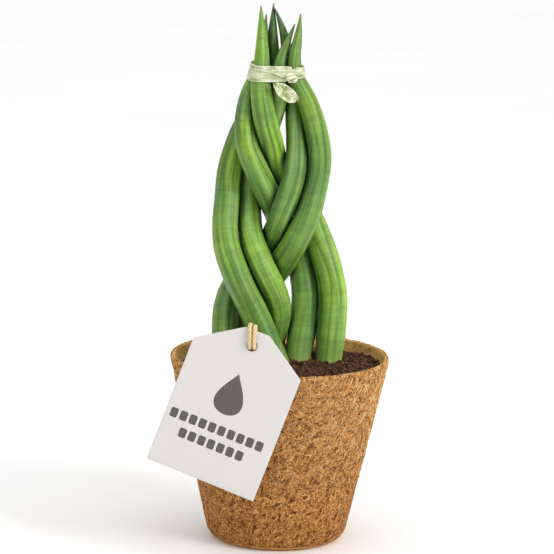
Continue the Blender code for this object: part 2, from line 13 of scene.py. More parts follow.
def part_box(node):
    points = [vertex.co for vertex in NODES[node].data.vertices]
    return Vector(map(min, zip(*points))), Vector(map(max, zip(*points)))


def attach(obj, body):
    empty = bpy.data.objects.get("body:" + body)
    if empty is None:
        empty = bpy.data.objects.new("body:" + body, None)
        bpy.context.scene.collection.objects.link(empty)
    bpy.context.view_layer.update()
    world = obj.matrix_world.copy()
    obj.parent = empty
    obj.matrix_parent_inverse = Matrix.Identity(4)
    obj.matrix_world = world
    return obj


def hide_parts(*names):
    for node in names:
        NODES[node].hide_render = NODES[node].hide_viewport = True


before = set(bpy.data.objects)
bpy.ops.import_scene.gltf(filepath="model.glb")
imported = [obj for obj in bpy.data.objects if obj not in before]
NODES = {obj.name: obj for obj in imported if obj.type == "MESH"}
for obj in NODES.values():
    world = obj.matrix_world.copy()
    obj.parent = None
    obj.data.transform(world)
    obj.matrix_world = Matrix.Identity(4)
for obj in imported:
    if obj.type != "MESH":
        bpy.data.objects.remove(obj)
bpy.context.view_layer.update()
MM = 0.001
TURN = 2 * math.pi

# ---- camera -------------------------------------------------------------------------
CAMERA_PLACE = Vector((0.0, -1.564687, 0.442297))
CAMERA_FORWARD = Vector((-0.00163591, 0.98339509, -0.18147014))
CAMERA_ROLL = math.radians(1.25)
CAMERA_LENS = 179.125

lens = bpy.data.cameras.new("camera")
lens.lens = CAMERA_LENS
lens.sensor_width = 36.0
lens.clip_end = 50.0
camera = bpy.data.objects.new("camera", lens)
bpy.context.scene.collection.objects.link(camera)
level_right = CAMERA_FORWARD.cross(Vector((0, 0, 1))).normalized()
level_up = level_right.cross(CAMERA_FORWARD).normalized()
right = math.cos(CAMERA_ROLL) * level_right + math.sin(CAMERA_ROLL) * level_up
up = math.cos(CAMERA_ROLL) * level_up - math.sin(CAMERA_ROLL) * level_right
turn = Matrix((right, up, -CAMERA_FORWARD)).transposed().to_4x4()
camera.matrix_world = Matrix.Translation(CAMERA_PLACE) @ turn
bpy.context.scene.camera = camera
bpy.context.scene.view_settings.view_transform = "Standard"

# ---- sizes read off the CAD frame ---------------------------------------------------
POT_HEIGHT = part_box("coir_pot")[1].z
RIM_RADIUS = 63.5 * MM
BASE_RADIUS = 39.5 * MM
POT_WALL = 2.4 * MM
POT_CORNER = 9 * MM
CROWN_HEIGHT = POT_HEIGHT - 4 * MM
SOIL_EDGE_DROP = 11 * MM
SOIL_CROWN_RADIUS = 32 * MM
WALL_SLOPE = (RIM_RADIUS - BASE_RADIUS) / POT_HEIGHT


def middle_and_half(node):
    """The middle of a node's box and half its size."""
    low, high = (np.array(corner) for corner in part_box(node))
    return (low + high) / 2, (high - low) / 2


def point_places(node):
    """A node's points as rows of x, y, z."""
    mesh = NODES[node].data
    places = np.empty(len(mesh.vertices) * 3)
    mesh.vertices.foreach_get("co", places)
    return places.reshape(-1, 3)


# ---- noise --------------------------------------------------------------------------


def lattice(cells, seed):
    """A number from 0 to 1 for each whole cell: the cell's three numbers are multiplied by
    large odd ones, mixed by shifts, and the low bits are kept."""
    cells = cells.astype(np.int64)
    mixed = cells[..., 0] * 73856093 ^ cells[..., 1] * 19349663 ^ cells[..., 2] * 83492791
    mixed = (mixed ^ (seed * 2654435761)) & 0xFFFFFFFF
    mixed = ((mixed ^ (mixed >> 15)) * 2246822519) & 0xFFFFFFFF
    mixed = ((mixed ^ (mixed >> 13)) * 3266489917) & 0xFFFFFFFF
    return ((mixed ^ (mixed >> 16)) & 0xFFFFFF) / float(0xFFFFFF)


def noise(points, size, seed=0):
    """Smooth noise from -1 to 1: the eight corners of each cell of that size, blended by
    the smooth step of the place inside it."""
    scaled = np.asarray(points) / size
    base = np.floor(scaled)
    part = scaled - base
    part = part * part * (3 - 2 * part)
    total = 0.0
    for corner in np.ndindex(2, 2, 2):
        share = np.prod(np.where(np.array(corner) == 1, part, 1 - part), axis=-1)
        total = total + share * lattice(base + np.array(corner), seed)
    return 2 * total - 1


def rough(points, size, octaves, seed=0):
    """Noise summed over octaves, each half the size and half the height of the last."""
    return sum(noise(points, size / 2 ** k, seed + 17 * k) / 2 ** k for k in range(octaves))


# ---- meshes -------------------------------------------------------------------------


def make_piece(name, points, faces, marks=None, uv=None, smooth=True):
    """A mesh object from points, a list of equal-sided face arrays and per-point marks."""
    mesh = bpy.data.meshes.new(name)
    corners = np.concatenate([np.asarray(block).ravel() for block in faces])
    sizes = np.concatenate([np.full(len(block), np.asarray(block).shape[1]) for block in faces])
    mesh.vertices.add(len(points))
    mesh.vertices.foreach_set("co", np.ascontiguousarray(points, np.float32).ravel())
    mesh.loops.add(len(corners))
    mesh.loops.foreach_set("vertex_index", corners.astype(np.int32))
    mesh.polygons.add(len(sizes))
    mesh.polygons.foreach_set("loop_start", (np.cumsum(sizes) - sizes).astype(np.int32))
    mesh.update(calc_edges=True)
    if uv is not None:
        layer = mesh.uv_layers.new(name="surface")
        layer.data.foreach_set("uv", np.ascontiguousarray(uv[corners], np.float32).ravel())
    for key, values in (marks or {}).items():
        attribute = mesh.attributes.new(key, "FLOAT", "POINT")
        attribute.data.foreach_set("value", np.ascontiguousarray(values, np.float32).ravel())
    mesh.polygons.foreach_set("use_smooth", np.full(len(sizes), smooth))
    mesh.validate()
    piece = bpy.data.objects.new(name, mesh)
    bpy.context.scene.collection.objects.link(piece)
    return piece


def grid_faces(rows, columns, around):
    """Quads of a grid of rows x columns points. around joins the last column to the first."""
    row = np.arange(rows - 1)[:, None]
    column = np.arange(columns if around else columns - 1)[None, :]
    after = (column + 1) % columns
    quads = np.stack([row * columns + column, row * columns + after,
                      (row + 1) * columns + after, (row + 1) * columns + column], axis=-1)
    return quads.reshape(-1, 4)


def closed_tube(name, grid, marks=None, uv=None):
    """A round grid, rows along and columns around, closed at both ends with a fan to the
    middle of the end row."""
    rows, columns = grid.shape[:2]
    points = np.vstack([grid.reshape(-1, 3), grid[0].mean(0), grid[-1].mean(0)])
    ring = np.arange(columns)
    after = (ring + 1) % columns
    last = (rows - 1) * columns
    first_fan = np.stack([np.full(columns, rows * columns), after, ring], axis=1)
    last_fan = np.stack([np.full(columns, rows * columns + 1), last + ring, last + after], axis=1)
    quads = grid_faces(rows, columns, True)

    def extended(values):
        values = np.asarray(values, float).reshape(rows, columns, -1)
        ends = np.vstack([values[0].mean(0), values[-1].mean(0)])
        return np.vstack([values.reshape(rows * columns, -1), ends])

    marks = {key: extended(values) for key, values in (marks or {}).items()}
    uv = None if uv is None else extended(uv)
    return make_piece(name, points, [quads, first_fan, last_fan], marks, uv)


def carried_axes(path):
    """Two directions square to the path at each point, carried along it without twist: the
    first is projected off each new tangent in turn."""
    tangent = np.gradient(path, axis=0)
    tangent /= np.linalg.norm(tangent, axis=1)[:, None]
    side = np.zeros_like(tangent)
    current = np.array([1.0, 0.0, 0.0])
    for index, along in enumerate(tangent):
        current = current - along * (current @ along)
        current /= np.linalg.norm(current)
        side[index] = current
    return side, np.cross(tangent, side)


def running_length(points):
    """Length along a line from its first point to each of its points."""
    return np.concatenate([[0.0], np.cumsum(np.linalg.norm(np.diff(points, axis=0), axis=1))])


def full_circle(columns):
    """The angles of that many columns all the way round, as one row."""
    return np.linspace(0, TURN, columns, endpoint=False)[None, :]


def level_place(angle, reach=1.0):
    """(x, y) at an angle and a distance from the middle."""
    return np.stack([reach * np.cos(angle), reach * np.sin(angle)], axis=-1)


def round_grid(path, side, other, angle, reach):
    """Points round a path: from each of its points a distance, reach, along the direction
    cos(angle) side + sin(angle) other."""
    return path[:, None, :] + reach[..., None] * (np.cos(angle)[..., None] * side[:, None, :]
                                                  + np.sin(angle)[..., None] * other[:, None, :])


def equal_steps(points, count):
    """The same line again as count points the same distance apart."""
    run = running_length(points)
    wanted = np.linspace(0.0, run[-1], count)
    return np.stack([np.interp(wanted, run, points[:, axis]) for axis in range(3)], axis=1)


def smooth_route(points, count):
    """A smooth curve through the points (Catmull-Rom on chord lengths) at equal steps."""
    points = np.asarray(points, float)
    padded = np.vstack([2 * points[0] - points[1], points, 2 * points[-1] - points[-2]])
    knots = running_length(padded)
    dense = []
    for index in range(1, len(padded) - 2):
        k0, k1, k2, k3 = knots[index - 1:index + 3]
        p0, p1, p2, p3 = padded[index - 1:index + 3]
        t = np.linspace(k1, k2, 24, endpoint=False)[:, None]
        a1 = (k1 - t) / (k1 - k0) * p0 + (t - k0) / (k1 - k0) * p1
        a2 = (k2 - t) / (k2 - k1) * p1 + (t - k1) / (k2 - k1) * p2
        a3 = (k3 - t) / (k3 - k2) * p2 + (t - k2) / (k3 - k2) * p3
        b1 = (k2 - t) / (k2 - k0) * a1 + (t - k0) / (k2 - k0) * a2
        b2 = (k3 - t) / (k3 - k1) * a2 + (t - k1) / (k3 - k1) * a3
        dense.append((k2 - t) / (k2 - k1) * b1 + (t - k1) / (k2 - k1) * b2)
    return equal_steps(np.vstack(dense + [points[-1:]]), count)


def read_between(table, row, column):
    """A table's values at places between its rows and its columns, which go round: the four
    nearest, each times its share."""
    row, column = np.asarray(row), np.asarray(column)
    low_row, low_column = np.floor(row).astype(int), np.floor(column).astype(int)
    up, over = row - low_row, column - low_column
    before, after = low_column % table.shape[1], (low_column + 1) % table.shape[1]
    low = table[low_row, before] * (1 - over) + table[low_row, after] * over
    high = table[low_row + 1, before] * (1 - over) + table[low_row + 1, after] * over
    return low * (1 - up) + high * up


def eased(low, high, value):
    """0 below low, 1 above high, and a smooth step between them."""
    share = np.clip((value - low) / (high - low), 0.0, 1.0)
    return share * share * (3 - 2 * share)


# ---- node trees ---------------------------------------------------------------------


def new_node(tree, kind, inputs=None, **settings):
    node = tree.nodes.new(kind)
    for key, value in settings.items():
        setattr(node, key, value)
    for key, value in (inputs or {}).items():
        if isinstance(value, bpy.types.NodeSocket):
            tree.links.new(value, node.inputs[key])
        else:
            node.inputs[key].default_value = value
    return node


def tree_around(*values):
    """The node tree of the first socket among the values."""
    return next(value.id_data for value in values if isinstance(value, bpy.types.NodeSocket))


def maths(operation, first, second=0.0, clamp=False):
    inputs, tree = {0: first, 1: second}, tree_around(first, second)
    return new_node(tree, "ShaderNodeMath", inputs, operation=operation, use_clamp=clamp).outputs[0]


def plus(first, second, clamp=False):
    return maths("ADD", first, second, clamp)


def minus(first, second, clamp=False):
    return maths("SUBTRACT", first, second, clamp)


def times(first, second):
    return maths("MULTIPLY", first, second)


def vector_maths(operation, first, second=(0.0, 0.0, 0.0), output="Vector"):
    inputs = {0: first, 1: second}
    node = new_node(tree_around(first), "ShaderNodeVectorMath", inputs, operation=operation)
    return node.outputs[output]


def joined_numbers(*numbers):
    inputs = dict(enumerate(numbers))
    return new_node(tree_around(*numbers), "ShaderNodeCombineXYZ", inputs).outputs[0]


def blend(factor, first, second, mode="MIX"):
    """Two colours mixed by a factor. A colour is a socket, or three numbers."""
    tree = tree_around(factor, first, second)
    first, second = (value if isinstance(value, bpy.types.NodeSocket) else (*value, 1.0)
                     for value in (first, second))
    inputs = {0: factor, 6: first, 7: second}
    return new_node(tree, "ShaderNodeMix", inputs, data_type="RGBA", blend_type=mode).outputs[2]


def ramp(value, low, high, to_low=0.0, to_high=1.0):
    """A smooth step of value from low to high, mapped to to_low and to_high."""
    inputs = {0: value, 1: low, 2: high, 3: to_low, 4: to_high}
    node = new_node(value.id_data, "ShaderNodeMapRange", inputs, interpolation_type="SMOOTHSTEP")
    return node.outputs[0]


def mark(tree, name):
    return new_node(tree, "ShaderNodeAttribute", attribute_name=name).outputs["Fac"]


def object_place(tree):
    return new_node(tree, "ShaderNodeTexCoord").outputs["Object"]


def stretched(source, scale):
    inputs = {"Vector": source, "Scale": scale}
    return new_node(source.id_data, "ShaderNodeMapping", inputs).outputs[0]


def cloud(source, scale, detail=2.0, roughness=0.5, distortion=0.0):
    inputs = {"Vector": source, "Scale": scale, "Detail": detail, "Roughness": roughness,
              "Distortion": distortion}
    return new_node(source.id_data, "ShaderNodeTexNoise", inputs).outputs[0]


def new_group(name, inputs, outputs):
    """An empty node group: (tree, its input sockets by name, its output node)."""
    tree = bpy.data.node_groups.new(name, "ShaderNodeTree")
    for label, kind, value in inputs:
        socket = tree.interface.new_socket(label, in_out="INPUT", socket_type=kind)
        if value is not None:
            socket.default_value = value
    for label, kind in outputs:
        tree.interface.new_socket(label, in_out="OUTPUT", socket_type=kind)
    entry = tree.nodes.new("NodeGroupInput")
    return tree, entry.outputs, tree.nodes.new("NodeGroupOutput")


def place_group(tree, group, inputs):
    return new_node(tree, "ShaderNodeGroup", inputs, node_tree=group)


def mottled(place, size, depth):
    inputs = {"Vector": place, "Size": size, "Depth": depth}
    return place_group(place.id_data, MOTTLE, inputs).outputs


def new_finish(name, **values):
    """A material with its Principled BSDF's constants set on its own sockets."""
    finish = bpy.data.materials.new(name)
    finish.use_nodes = True
    shader = finish.node_tree.nodes["Principled BSDF"]
    for key, value in values.items():
        shader.inputs[key.replace("_", " ")].default_value = value
    return finish, finish.node_tree, shader


def feed(node, name, source):
    """Link a source to a node's named input."""
    node.id_data.links.new(source, node.inputs[name])


def bumped(shader, height, distance, strength):
    inputs = {"Height": height, "Distance": distance, "Strength": strength}
    feed(shader, "Normal", new_node(height.id_data, "ShaderNodeBump", inputs).outputs[0])


def finish_piece(piece, finish, slot, *nodes):
    """Material, body and the CAD nodes that the piece stands for. The slot is not used."""
    piece.data.materials.append(finish)
    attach(piece, "root")
    if nodes:
        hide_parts(*nodes)
    return piece


# ---- effects that several finishes share --------------------------------------------
def make_mottle():
    """Uneven tone: clouds of two sizes, summed about 0.5, and a fine speckle."""
    tree, given, out = new_group("mottle", [("Vector", "NodeSocketVector", None),
                                            ("Size", "NodeSocketFloat", 100.0),
                                            ("Depth", "NodeSocketFloat", 0.5)],
                                 [("Tone", "NodeSocketFloat"), ("Speckle", "NodeSocketFloat")])
    large = cloud(given["Vector"], given["Size"], 3.0, 0.6)
    small = cloud(given["Vector"], times(given["Size"], 7.0), 2.0, 0.6)
    both = plus(times(large, 0.65), times(small, 0.35))
    spread = times(minus(both, 0.5), given["Depth"])
    feed(out, "Tone", plus(spread, 0.5))
    feed(out, "Speckle", small)
    return tree


MOTTLE = make_mottle()


# ---- twine and its knot -------------------------------------------------------------
TWINE_DIAMETER = 2.3 * MM
TWINE_PLY_PITCH = 7.5 * MM
TWINE_ROUTE = np.array([
    (-16.5, -57.9, 124.8), (-16.7, -60.1, 124.7), (-16.9, -61.6, 124.6), (-17.0, -63.1, 125.5),
    (-17.1, -63.4, 127.9), (-17.0, -63.0, 132.3), (-17.0, -62.7, 135.1), (-16.8, -61.2, 137.2),
    (-16.6, -59.2, 137.2), (-16.4, -57.3, 135.6), (-20.7, -48.2, 129.9), (-27.1, -34.6, 122.2),
    (-33.6, -20.9, 115.7), (-37.9, -11.8, 112.0), (-39.7, -9.3, 112.0), (-40.5, -6.3, 112.0),
    (-40.3, -3.2, 112.0), (-39.1, -0.3, 112.0), (-37.0, 2.0, 112.0), (-34.2, 3.4, 112.0),
    (-31.1, 3.8, 112.0), (-28.0, 3.2, 112.0), (-25.4, 1.5, 112.0), (-23.4, -0.9, 112.0),
    (-22.4, -3.9, 112.0), (-22.5, -7.0, 112.0), (-20.7, -17.1, 115.5), (-18.1, -32.3, 121.7),
    (-15.5, -47.6, 129.1), (-13.7, -57.7, 134.6), (-13.9, -59.5, 136.3), (-14.2, -61.6, 136.2),
    (-14.3, -63.0, 134.1), (-14.3, -63.4, 131.3), (-14.4, -63.7, 127.9), (-14.3, -63.4, 125.5),
    (-14.2, -61.9, 124.6), (-14.0, -60.4, 124.7), (-13.8, -58.1, 124.8)]) * MM


def make_twine_finish():
    finish, tree, shader = new_finish("cotton_twine", Roughness=0.85, Specular_IOR_Level=0.25,
                                      Sheen_Weight=0.25, Sheen_Roughness=0.5)
    place = object_place(tree)
    tone = mottled(place, 500.0, 1.2)
    valley = mark(tree, "valley")
    colour = blend(tone["Tone"], (0.63, 0.43, 0.2), (0.86, 0.68, 0.42))
    # painted shade: darker in the valleys between the plies
    colour = blend(times(valley, 0.6), colour, (0.36, 0.21, 0.08))
    feed(shader, "Base Color", colour)
    fibre = cloud(stretched(place, (1.0, 1.0, 0.35)), 2600.0, 2.0)
    bumped(shader, fibre, 0.12 * MM, 0.7)
    return finish


def plied_tube(name, path, radius, pitch, columns):
    """Three plies twisted together: the radius falls into a valley between plies, and the
    plies' angle grows with the length along the path. The ends round off over 1.2 radii."""
    side, other = carried_axes(path)
    run = running_length(path)
    angle = full_circle(columns)
    phase = 3 * (angle - TURN * run[:, None] / pitch)
    ply = np.abs(np.cos(phase / 2))
    fuzz = 1 + 0.05 * rough(path[:, None, :] + angle[..., None] * 0.7 * MM, 1.2 * MM, 2, 5)
    end = np.sqrt(eased(0, 1.2 * radius, np.minimum(run, run[-1] - run)))[:, None]
    reach = radius * (0.80 + 0.22 * ply) * fuzz * np.maximum(end, 0.25)
    grid = round_grid(path, side, other, angle, reach)
    return closed_tube(name, grid, {"valley": np.clip(1 - ply, 0, 1) ** 2})


twine_finish = make_twine_finish()
twine_path = smooth_route(TWINE_ROUTE, 420)
twine = plied_tube("twine_loop", twine_path, TWINE_DIAMETER / 2, TWINE_PLY_PITCH, 24)
finish_piece(twine, twine_finish, "twine", "tag_twine")

knot_middle, knot_size = middle_and_half("twine_knot")
sweep = np.linspace(0, TURN, 160)
# a trefoil knot squeezed into the CAD knot's own box
trefoil = np.stack([np.sin(sweep) + 2 * np.sin(2 * sweep), -np.sin(3 * sweep),
                    np.cos(sweep) - 2 * np.cos(2 * sweep)], axis=1) / np.array([2.9, 1.6, 2.9])
knot_path = knot_middle + trefoil[:-1] * (knot_size - 0.9 * MM)
knot = plied_tube("twine_knot_tied", knot_path, 1.05 * MM, TWINE_PLY_PITCH, 18)
finish_piece(knot, twine_finish, "twine", "twine_knot")


# ---- leaves -------------------------------------------------------------------------
LEAVES = ("leaf_left_outer", "leaf_left_inner", "leaf_middle_outer", "leaf_middle_inner",
          "leaf_right_inner", "leaf_right_outer")
LEAF_ROWS = 330
LEAF_COLUMNS = 120
# how yellow each leaf is against the others, and the painted light and shade on it at its foot and
# at its point
LEAF_WARMTH = {"leaf_left_outer": 0.25, "leaf_left_inner": 0.40, "leaf_middle_outer": 0.38,
               "leaf_middle_inner": 0.42, "leaf_right_inner": 0.45, "leaf_right_outer": 0.66}
LEAF_PAINTED_LIGHT = {"leaf_left_outer": (0.58, 0.18), "leaf_left_inner": (0.48, 0.40),
              "leaf_middle_outer": (0.68, 0.36), "leaf_middle_inner": (0.84, 0.36),
              "leaf_right_inner": (0.80, 0.32), "leaf_right_outer": (0.98, 0.48)}
LEAF_SWELL = 0.28 * MM          # closes the CAD's air gap where two leaves touch
LEAF_RIBS = 7
GROOVE_DEPTH = 0.62 * MM
FOOT_NARROWING = 0.13           # of the right pair, at the soil


def level_sides(name, levels):
    """The outline of a closed solid at each height, as one directed side for each triangle
    that crosses the level, anticlockwise seen from above: (starts, ends, which cross)."""
    mesh = NODES[name].data
    mesh.calc_loop_triangles()
    corner = np.empty(len(mesh.loop_triangles) * 3, np.int32)
    mesh.loop_triangles.foreach_get("vertices", corner)
    triangle = point_places(name)[corner.reshape(-1, 3)]
    facing = np.cross(triangle[:, 1] - triangle[:, 0], triangle[:, 2] - triangle[:, 0])
    height = triangle[None, :, :, 2] - levels[:, None, None]
    follow = np.roll(height, -1, axis=2)
    crossing = (height < 0) != (follow < 0)
    share = height / np.where(crossing, height - follow, 1.0)
    spot = triangle[None] + share[..., None] * (np.roll(triangle, -1, axis=1) - triangle)[None]
    order = np.argsort(~crossing, axis=2, kind="stable")[..., :2]
    ends = np.take_along_axis(spot, order[..., None], axis=2)[..., :2]
    step = ends[:, :, 1] - ends[:, :, 0]
    ahead = (step[..., 0] * -facing[None, :, 1] + step[..., 1] * facing[None, :, 0] > 0)[..., None]
    start = np.where(ahead, ends[:, :, 0], ends[:, :, 1])
    stop = np.where(ahead, ends[:, :, 1], ends[:, :, 0])
    return start, stop, crossing.sum(2) == 2


def level_sections(name, levels):
    """Area and middle of a solid's section at each height: the sums over the outline's
    sides of x1 y2 - x2 y1, and of that times the side's middle."""
    start, stop, cut = level_sides(name, levels)
    twist = np.where(cut, start[..., 0] * stop[..., 1] - stop[..., 0] * start[..., 1], 0.0)
    area = twist.sum(1) / 2
    middle = ((start + stop) * twist[..., None]).sum(1) / (6 * area[:, None])
    return area, middle


def level_reach(name, levels, centre, angles):
    """How far a solid reaches from a centre at each height and angle: the furthest place
    where the ray from the centre meets a side of the outline."""
    start, stop, cut = level_sides(name, levels)
    start, side = (start - centre)[:, :, None, :], (stop - start)[:, :, None, :]
    ray = np.stack([np.cos(angles), np.sin(angles)], axis=1)[None, None]
    across = ray[..., 0] * side[..., 1] - ray[..., 1] * side[..., 0]
    safe = np.where(np.abs(across) < 1e-12, 1.0, across)
    reach = (start[..., 0] * side[..., 1] - start[..., 1] * side[..., 0]) / safe
    share = (start[..., 0] * ray[..., 1] - start[..., 1] * ray[..., 0]) / safe
    met = cut[:, :, None] & (share > -0.01) & (share < 1.01) & (np.abs(across) > 1e-12)
    return np.where(met, reach, 0.0).max(1)


def leaf_line(name):
    """The leaf's middle line and half width from its CAD solid, whose round is 12-sided: a
    12-sided section of radius r has the area 3 r r, and a slanted cut is longer by the
    slant."""
    point_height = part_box(name)[1].z
    levels = np.linspace(CROWN_HEIGHT - 16 * MM, point_height - 0.25 * MM, 260)
    area, middle = level_sections(name, levels)
    line = np.column_stack([middle, levels])
    along = np.gradient(line, axis=0)
    upright = along[:, 2] / np.linalg.norm(along, axis=1)
    radius = np.sqrt(np.abs(area) * upright / 3)
    kernel = np.hanning(9)[1:-1] / np.hanning(9)[1:-1].sum()
    padded = np.vstack([2 * line[:1] - line[3:0:-1], line, 2 * line[-1:] - line[-2:-5:-1]])
    line = np.stack([np.convolve(padded[:, axis], kernel, "valid") for axis in range(3)], axis=1)
    even = equal_steps(line, LEAF_ROWS)
    swollen = radius + LEAF_SWELL * np.minimum(radius / (4 * MM), 1.0)
    return even, np.interp(even[:, 2], line[:, 2], swollen)


LEAF_LINES = {leaf: leaf_line(leaf) for leaf in LEAVES}


def crevice_shade_amount(name, grid):
    """How much painted shade each place on a leaf takes between it and its neighbours, from the air
    left to the nearest of their rounds: 0.65 exp(-air / 2 mm) + 0.35 exp(-air / 7 mm), read on
    every third row and column and spread evenly between them."""
    rows, columns = grid.shape[:2]
    few = grid[::3, ::3]
    air = np.full(few.shape[:2], 1.0)
    for other in LEAVES:
        if other != name:
            line, radius = LEAF_LINES[other]
            apart = np.linalg.norm(few[:, :, None, :] - line[None, None, ::3], axis=-1)
            air = np.minimum(air, (apart - radius[None, None, ::3]).min(-1))
    air = np.maximum(air, 0.0)
    painted_shade = 0.65 * np.exp(-air / (2.0 * MM)) + 0.35 * np.exp(-air / (7.0 * MM))
    row = np.minimum(np.arange(rows) / 3, len(painted_shade) - 1.001)
    return read_between(painted_shade, row[:, None], np.arange(columns)[None, :] / 3)


def make_leaf(name, seed):
    """A ribbed round leaf. Its half width follows the CAD solid's, less a groove at each of
    seven angles that wander slowly along it. A groove's depth falls off as
    exp(-(angle off its middle / width) ** 1.25), and all grooves fade towards the point."""
    draw = np.random.default_rng(seed)
    line, radius = LEAF_LINES[name]
    side, other = carried_axes(line)
    run = running_length(line)[:, None]
    share = run / run[-1]
    angle = full_circle(LEAF_COLUMNS)
    groove = np.zeros((LEAF_ROWS, LEAF_COLUMNS))
    deep = np.zeros_like(groove)
    for rib in range(LEAF_RIBS):
        middle = TURN * (rib + draw.uniform(-0.22, 0.22)) / LEAF_RIBS
        middle = middle + 0.16 * np.sin(TURN * (run / draw.uniform(0.11, 0.2) + draw.uniform()))
        middle = middle + 0.05 * np.sin(TURN * (run / draw.uniform(0.03, 0.05) + draw.uniform()))
        width = draw.uniform(0.20, 0.32)
        depth = draw.uniform(0.45, 1.0)
        depth = depth * (0.75 + 0.25 * np.sin(TURN * (run / 0.09 + draw.uniform())))
        off = np.abs((angle - middle + math.pi) % TURN - math.pi)
        fall = depth * np.exp(-(off / width) ** 1.25)
        groove = np.maximum(groove, fall)
        deep = np.maximum(deep, depth * np.exp(-(off / (0.36 * width)) ** 1.5))
    fade = 1 - 0.65 * eased(0.82, 0.99, share)
    groove = groove * fade
    place = round_grid(line, side, other, angle, radius[:, None])
    swell = 0.10 * MM * rough(place, 14 * MM, 2, seed)
    fine = 0.035 * MM * np.sin(angle * 41 + 3 * noise(place, 30 * MM, seed + 3)) * (1 - groove)
    slim = np.minimum(radius / (6 * MM), 1.0)[:, None]
    reach = radius[:, None] + (swell + fine - GROOVE_DEPTH * groove) * slim
    if name.startswith("leaf_right"):  # these two narrow to their feet
        rise = line[:, None, 2] - CROWN_HEIGHT
        reach = reach * (1 - FOOT_NARROWING * (1 - eased(3 * MM, 17 * MM, rise)))
    grid = round_grid(line, side, other, angle, reach)
    flat = np.ones_like(groove)
    # painted light and shade of this leaf at its foot and at its point
    foot_painted_light, point_painted_light = LEAF_PAINTED_LIGHT[name]
    marks = {"groove": groove, "line": deep * fade, "share": flat * share,
             "warmth": flat * LEAF_WARMTH[name],
             "light": foot_painted_light * (1 - flat * share) + point_painted_light * share,
             "painted_shade": crevice_shade_amount(name, grid), "rise": grid[..., 2] - CROWN_HEIGHT}
    uv = np.stack([flat * angle * 7 * MM, flat * run], axis=-1)
    return closed_tube(name + "_ribbed", grid, marks, uv)


def make_leaf_finish():
    """Satin green skin: ridges pale with a waxy coat and a painted highlight, between grooves
    darkened as painted shade, soft streaks along the leaf, faint cross bands, cloudy yellow and
    blue-green areas, painted light and shade on each leaf from its foot to its point, painted shade
    near black where leaves press together, a pale foot and a dry point."""
    finish, tree, shader = new_finish("leaf_skin", Specular_IOR_Level=0.42, Coat_Weight=0.06,
                                      Coat_Roughness=0.4)
    uv = new_node(tree, "ShaderNodeUVMap", uv_map="surface").outputs[0]
    place = object_place(tree)
    warmth, light, groove = mark(tree, "warmth"), mark(tree, "light"), mark(tree, "groove")
    cloudy = cloud(place, 34.0, 3.0, 0.55)
    streak = cloud(stretched(uv, (620.0, 22.0, 1.0)), 1.0, 2.0, 0.55)
    broad = cloud(stretched(uv, (260.0, 10.0, 1.0)), 1.0, 2.0, 0.5)
    bands = cloud(stretched(uv, (50.0, 260.0, 1.0)), 1.0, 3.0, 0.6, 0.8)
    yellow = plus(warmth, times(minus(cloudy, 0.5), 2.0))
    yellow = plus(yellow, times(minus(broad, 0.5), 1.2), clamp=True)
    colour = blend(yellow, (0.100, 0.235, 0.062), (0.235, 0.400, 0.028))
    tone = plus(times(streak, 0.39), times(broad, 0.33))
    tone = plus(tone, times(bands, 0.28))
    tone = ramp(tone, 0.36, 0.64, 0.66, 1.34)
    # painted light and shade: the tone is scaled by each leaf's painted brightness, from its foot
    # to its point
    tone = times(tone, plus(light, 0.52))
    grey = new_node(tree, "ShaderNodeCombineColor", {0: tone, 1: tone, 2: tone}).outputs[0]
    colour = blend(1.0, colour, grey, "MULTIPLY")
    # pale on the ridges: the leaf's waxy coat, brightened as a painted highlight
    waxy_bloom_and_highlight = times(ramp(groove, 0.0, 0.16, 0.36, 0.0), ramp(broad, 0.42, 0.62))
    colour = blend(waxy_bloom_and_highlight, colour, (0.34, 0.52, 0.27))
    # painted shade: darker in the grooves, and darkest along their middle lines
    colour = blend(times(groove, 0.80), colour, (0.035, 0.105, 0.010))
    colour = blend(times(mark(tree, "line"), 0.25), colour, (0.022, 0.06, 0.008))
    foot = ramp(mark(tree, "rise"), 0.0, 0.022, 0.45, 0.0)
    colour = blend(foot, colour, (0.36, 0.50, 0.16))
    tip = ramp(mark(tree, "share"), 0.984, 0.998)
    colour = blend(tip, colour, (0.26, 0.22, 0.13))
    # painted shade: near black where the leaves press together and in the gaps between them
    painted_shade = ramp(mark(tree, "painted_shade"), 0.22, 0.90, 0.0, 0.97)
    colour = blend(painted_shade, colour, (0.012, 0.022, 0.004))
    feed(shader, "Base Color", colour)
    feed(shader, "Roughness", ramp(streak, 0.3, 0.7, 0.38, 0.52))
    relief = plus(times(streak, 0.5), times(bands, 0.15))
    bumped(shader, relief, 0.25 * MM, 0.5)
    return finish


leaf_finish = make_leaf_finish()
for number, leaf_name in enumerate(LEAVES):
    finish_piece(make_leaf(leaf_name, 11 + number), leaf_finish, "leaf", leaf_name)


# ---- coir pot -----------------------------------------------------------------------
POT_COLUMNS = 520
WALL_ANGLE = math.atan(WALL_SLOPE)
MAT_RELIEF = 0.16 * MM
PIT_DEPTH = 0.45 * MM
STRAND_EDGE = 0.3 * MM          # least from a fibre's middle to the ground or a section's end


def wall_radius(height, inset=0.0):
    """Radius of the pot's outer wall at a height, less an inset square to the wall."""
    return BASE_RADIUS + WALL_SLOPE * height - inset * math.hypot(1.0, WALL_SLOPE)


def arc(middle, radius, start, end, count):
    """Points at even angles on a circle."""
    return np.array(middle) + level_place(np.linspace(start, end, count), radius)


def straight(start, end, count):
    """Points from start to end, the last one left out."""
    return np.linspace(start, end, count, endpoint=False)


LIP = POT_WALL / 2              # radius of the rim's round
LIP_MIDDLE = (wall_radius(POT_HEIGHT - LIP, LIP), POT_HEIGHT - LIP)


def outer_profile():
    """(radius, height) from the edge of the underside round the corner, up the wall and
    over the outer half of the rim."""
    middle = (wall_radius(POT_CORNER, POT_CORNER), POT_CORNER)
    corner = arc(middle, POT_CORNER, -math.pi / 2, -WALL_ANGLE, 12)
    rim = arc(LIP_MIDDLE, LIP, -WALL_ANGLE, math.pi / 2, 5)
    return np.vstack([corner, straight(corner[-1], rim[0], 96)[1:], rim])


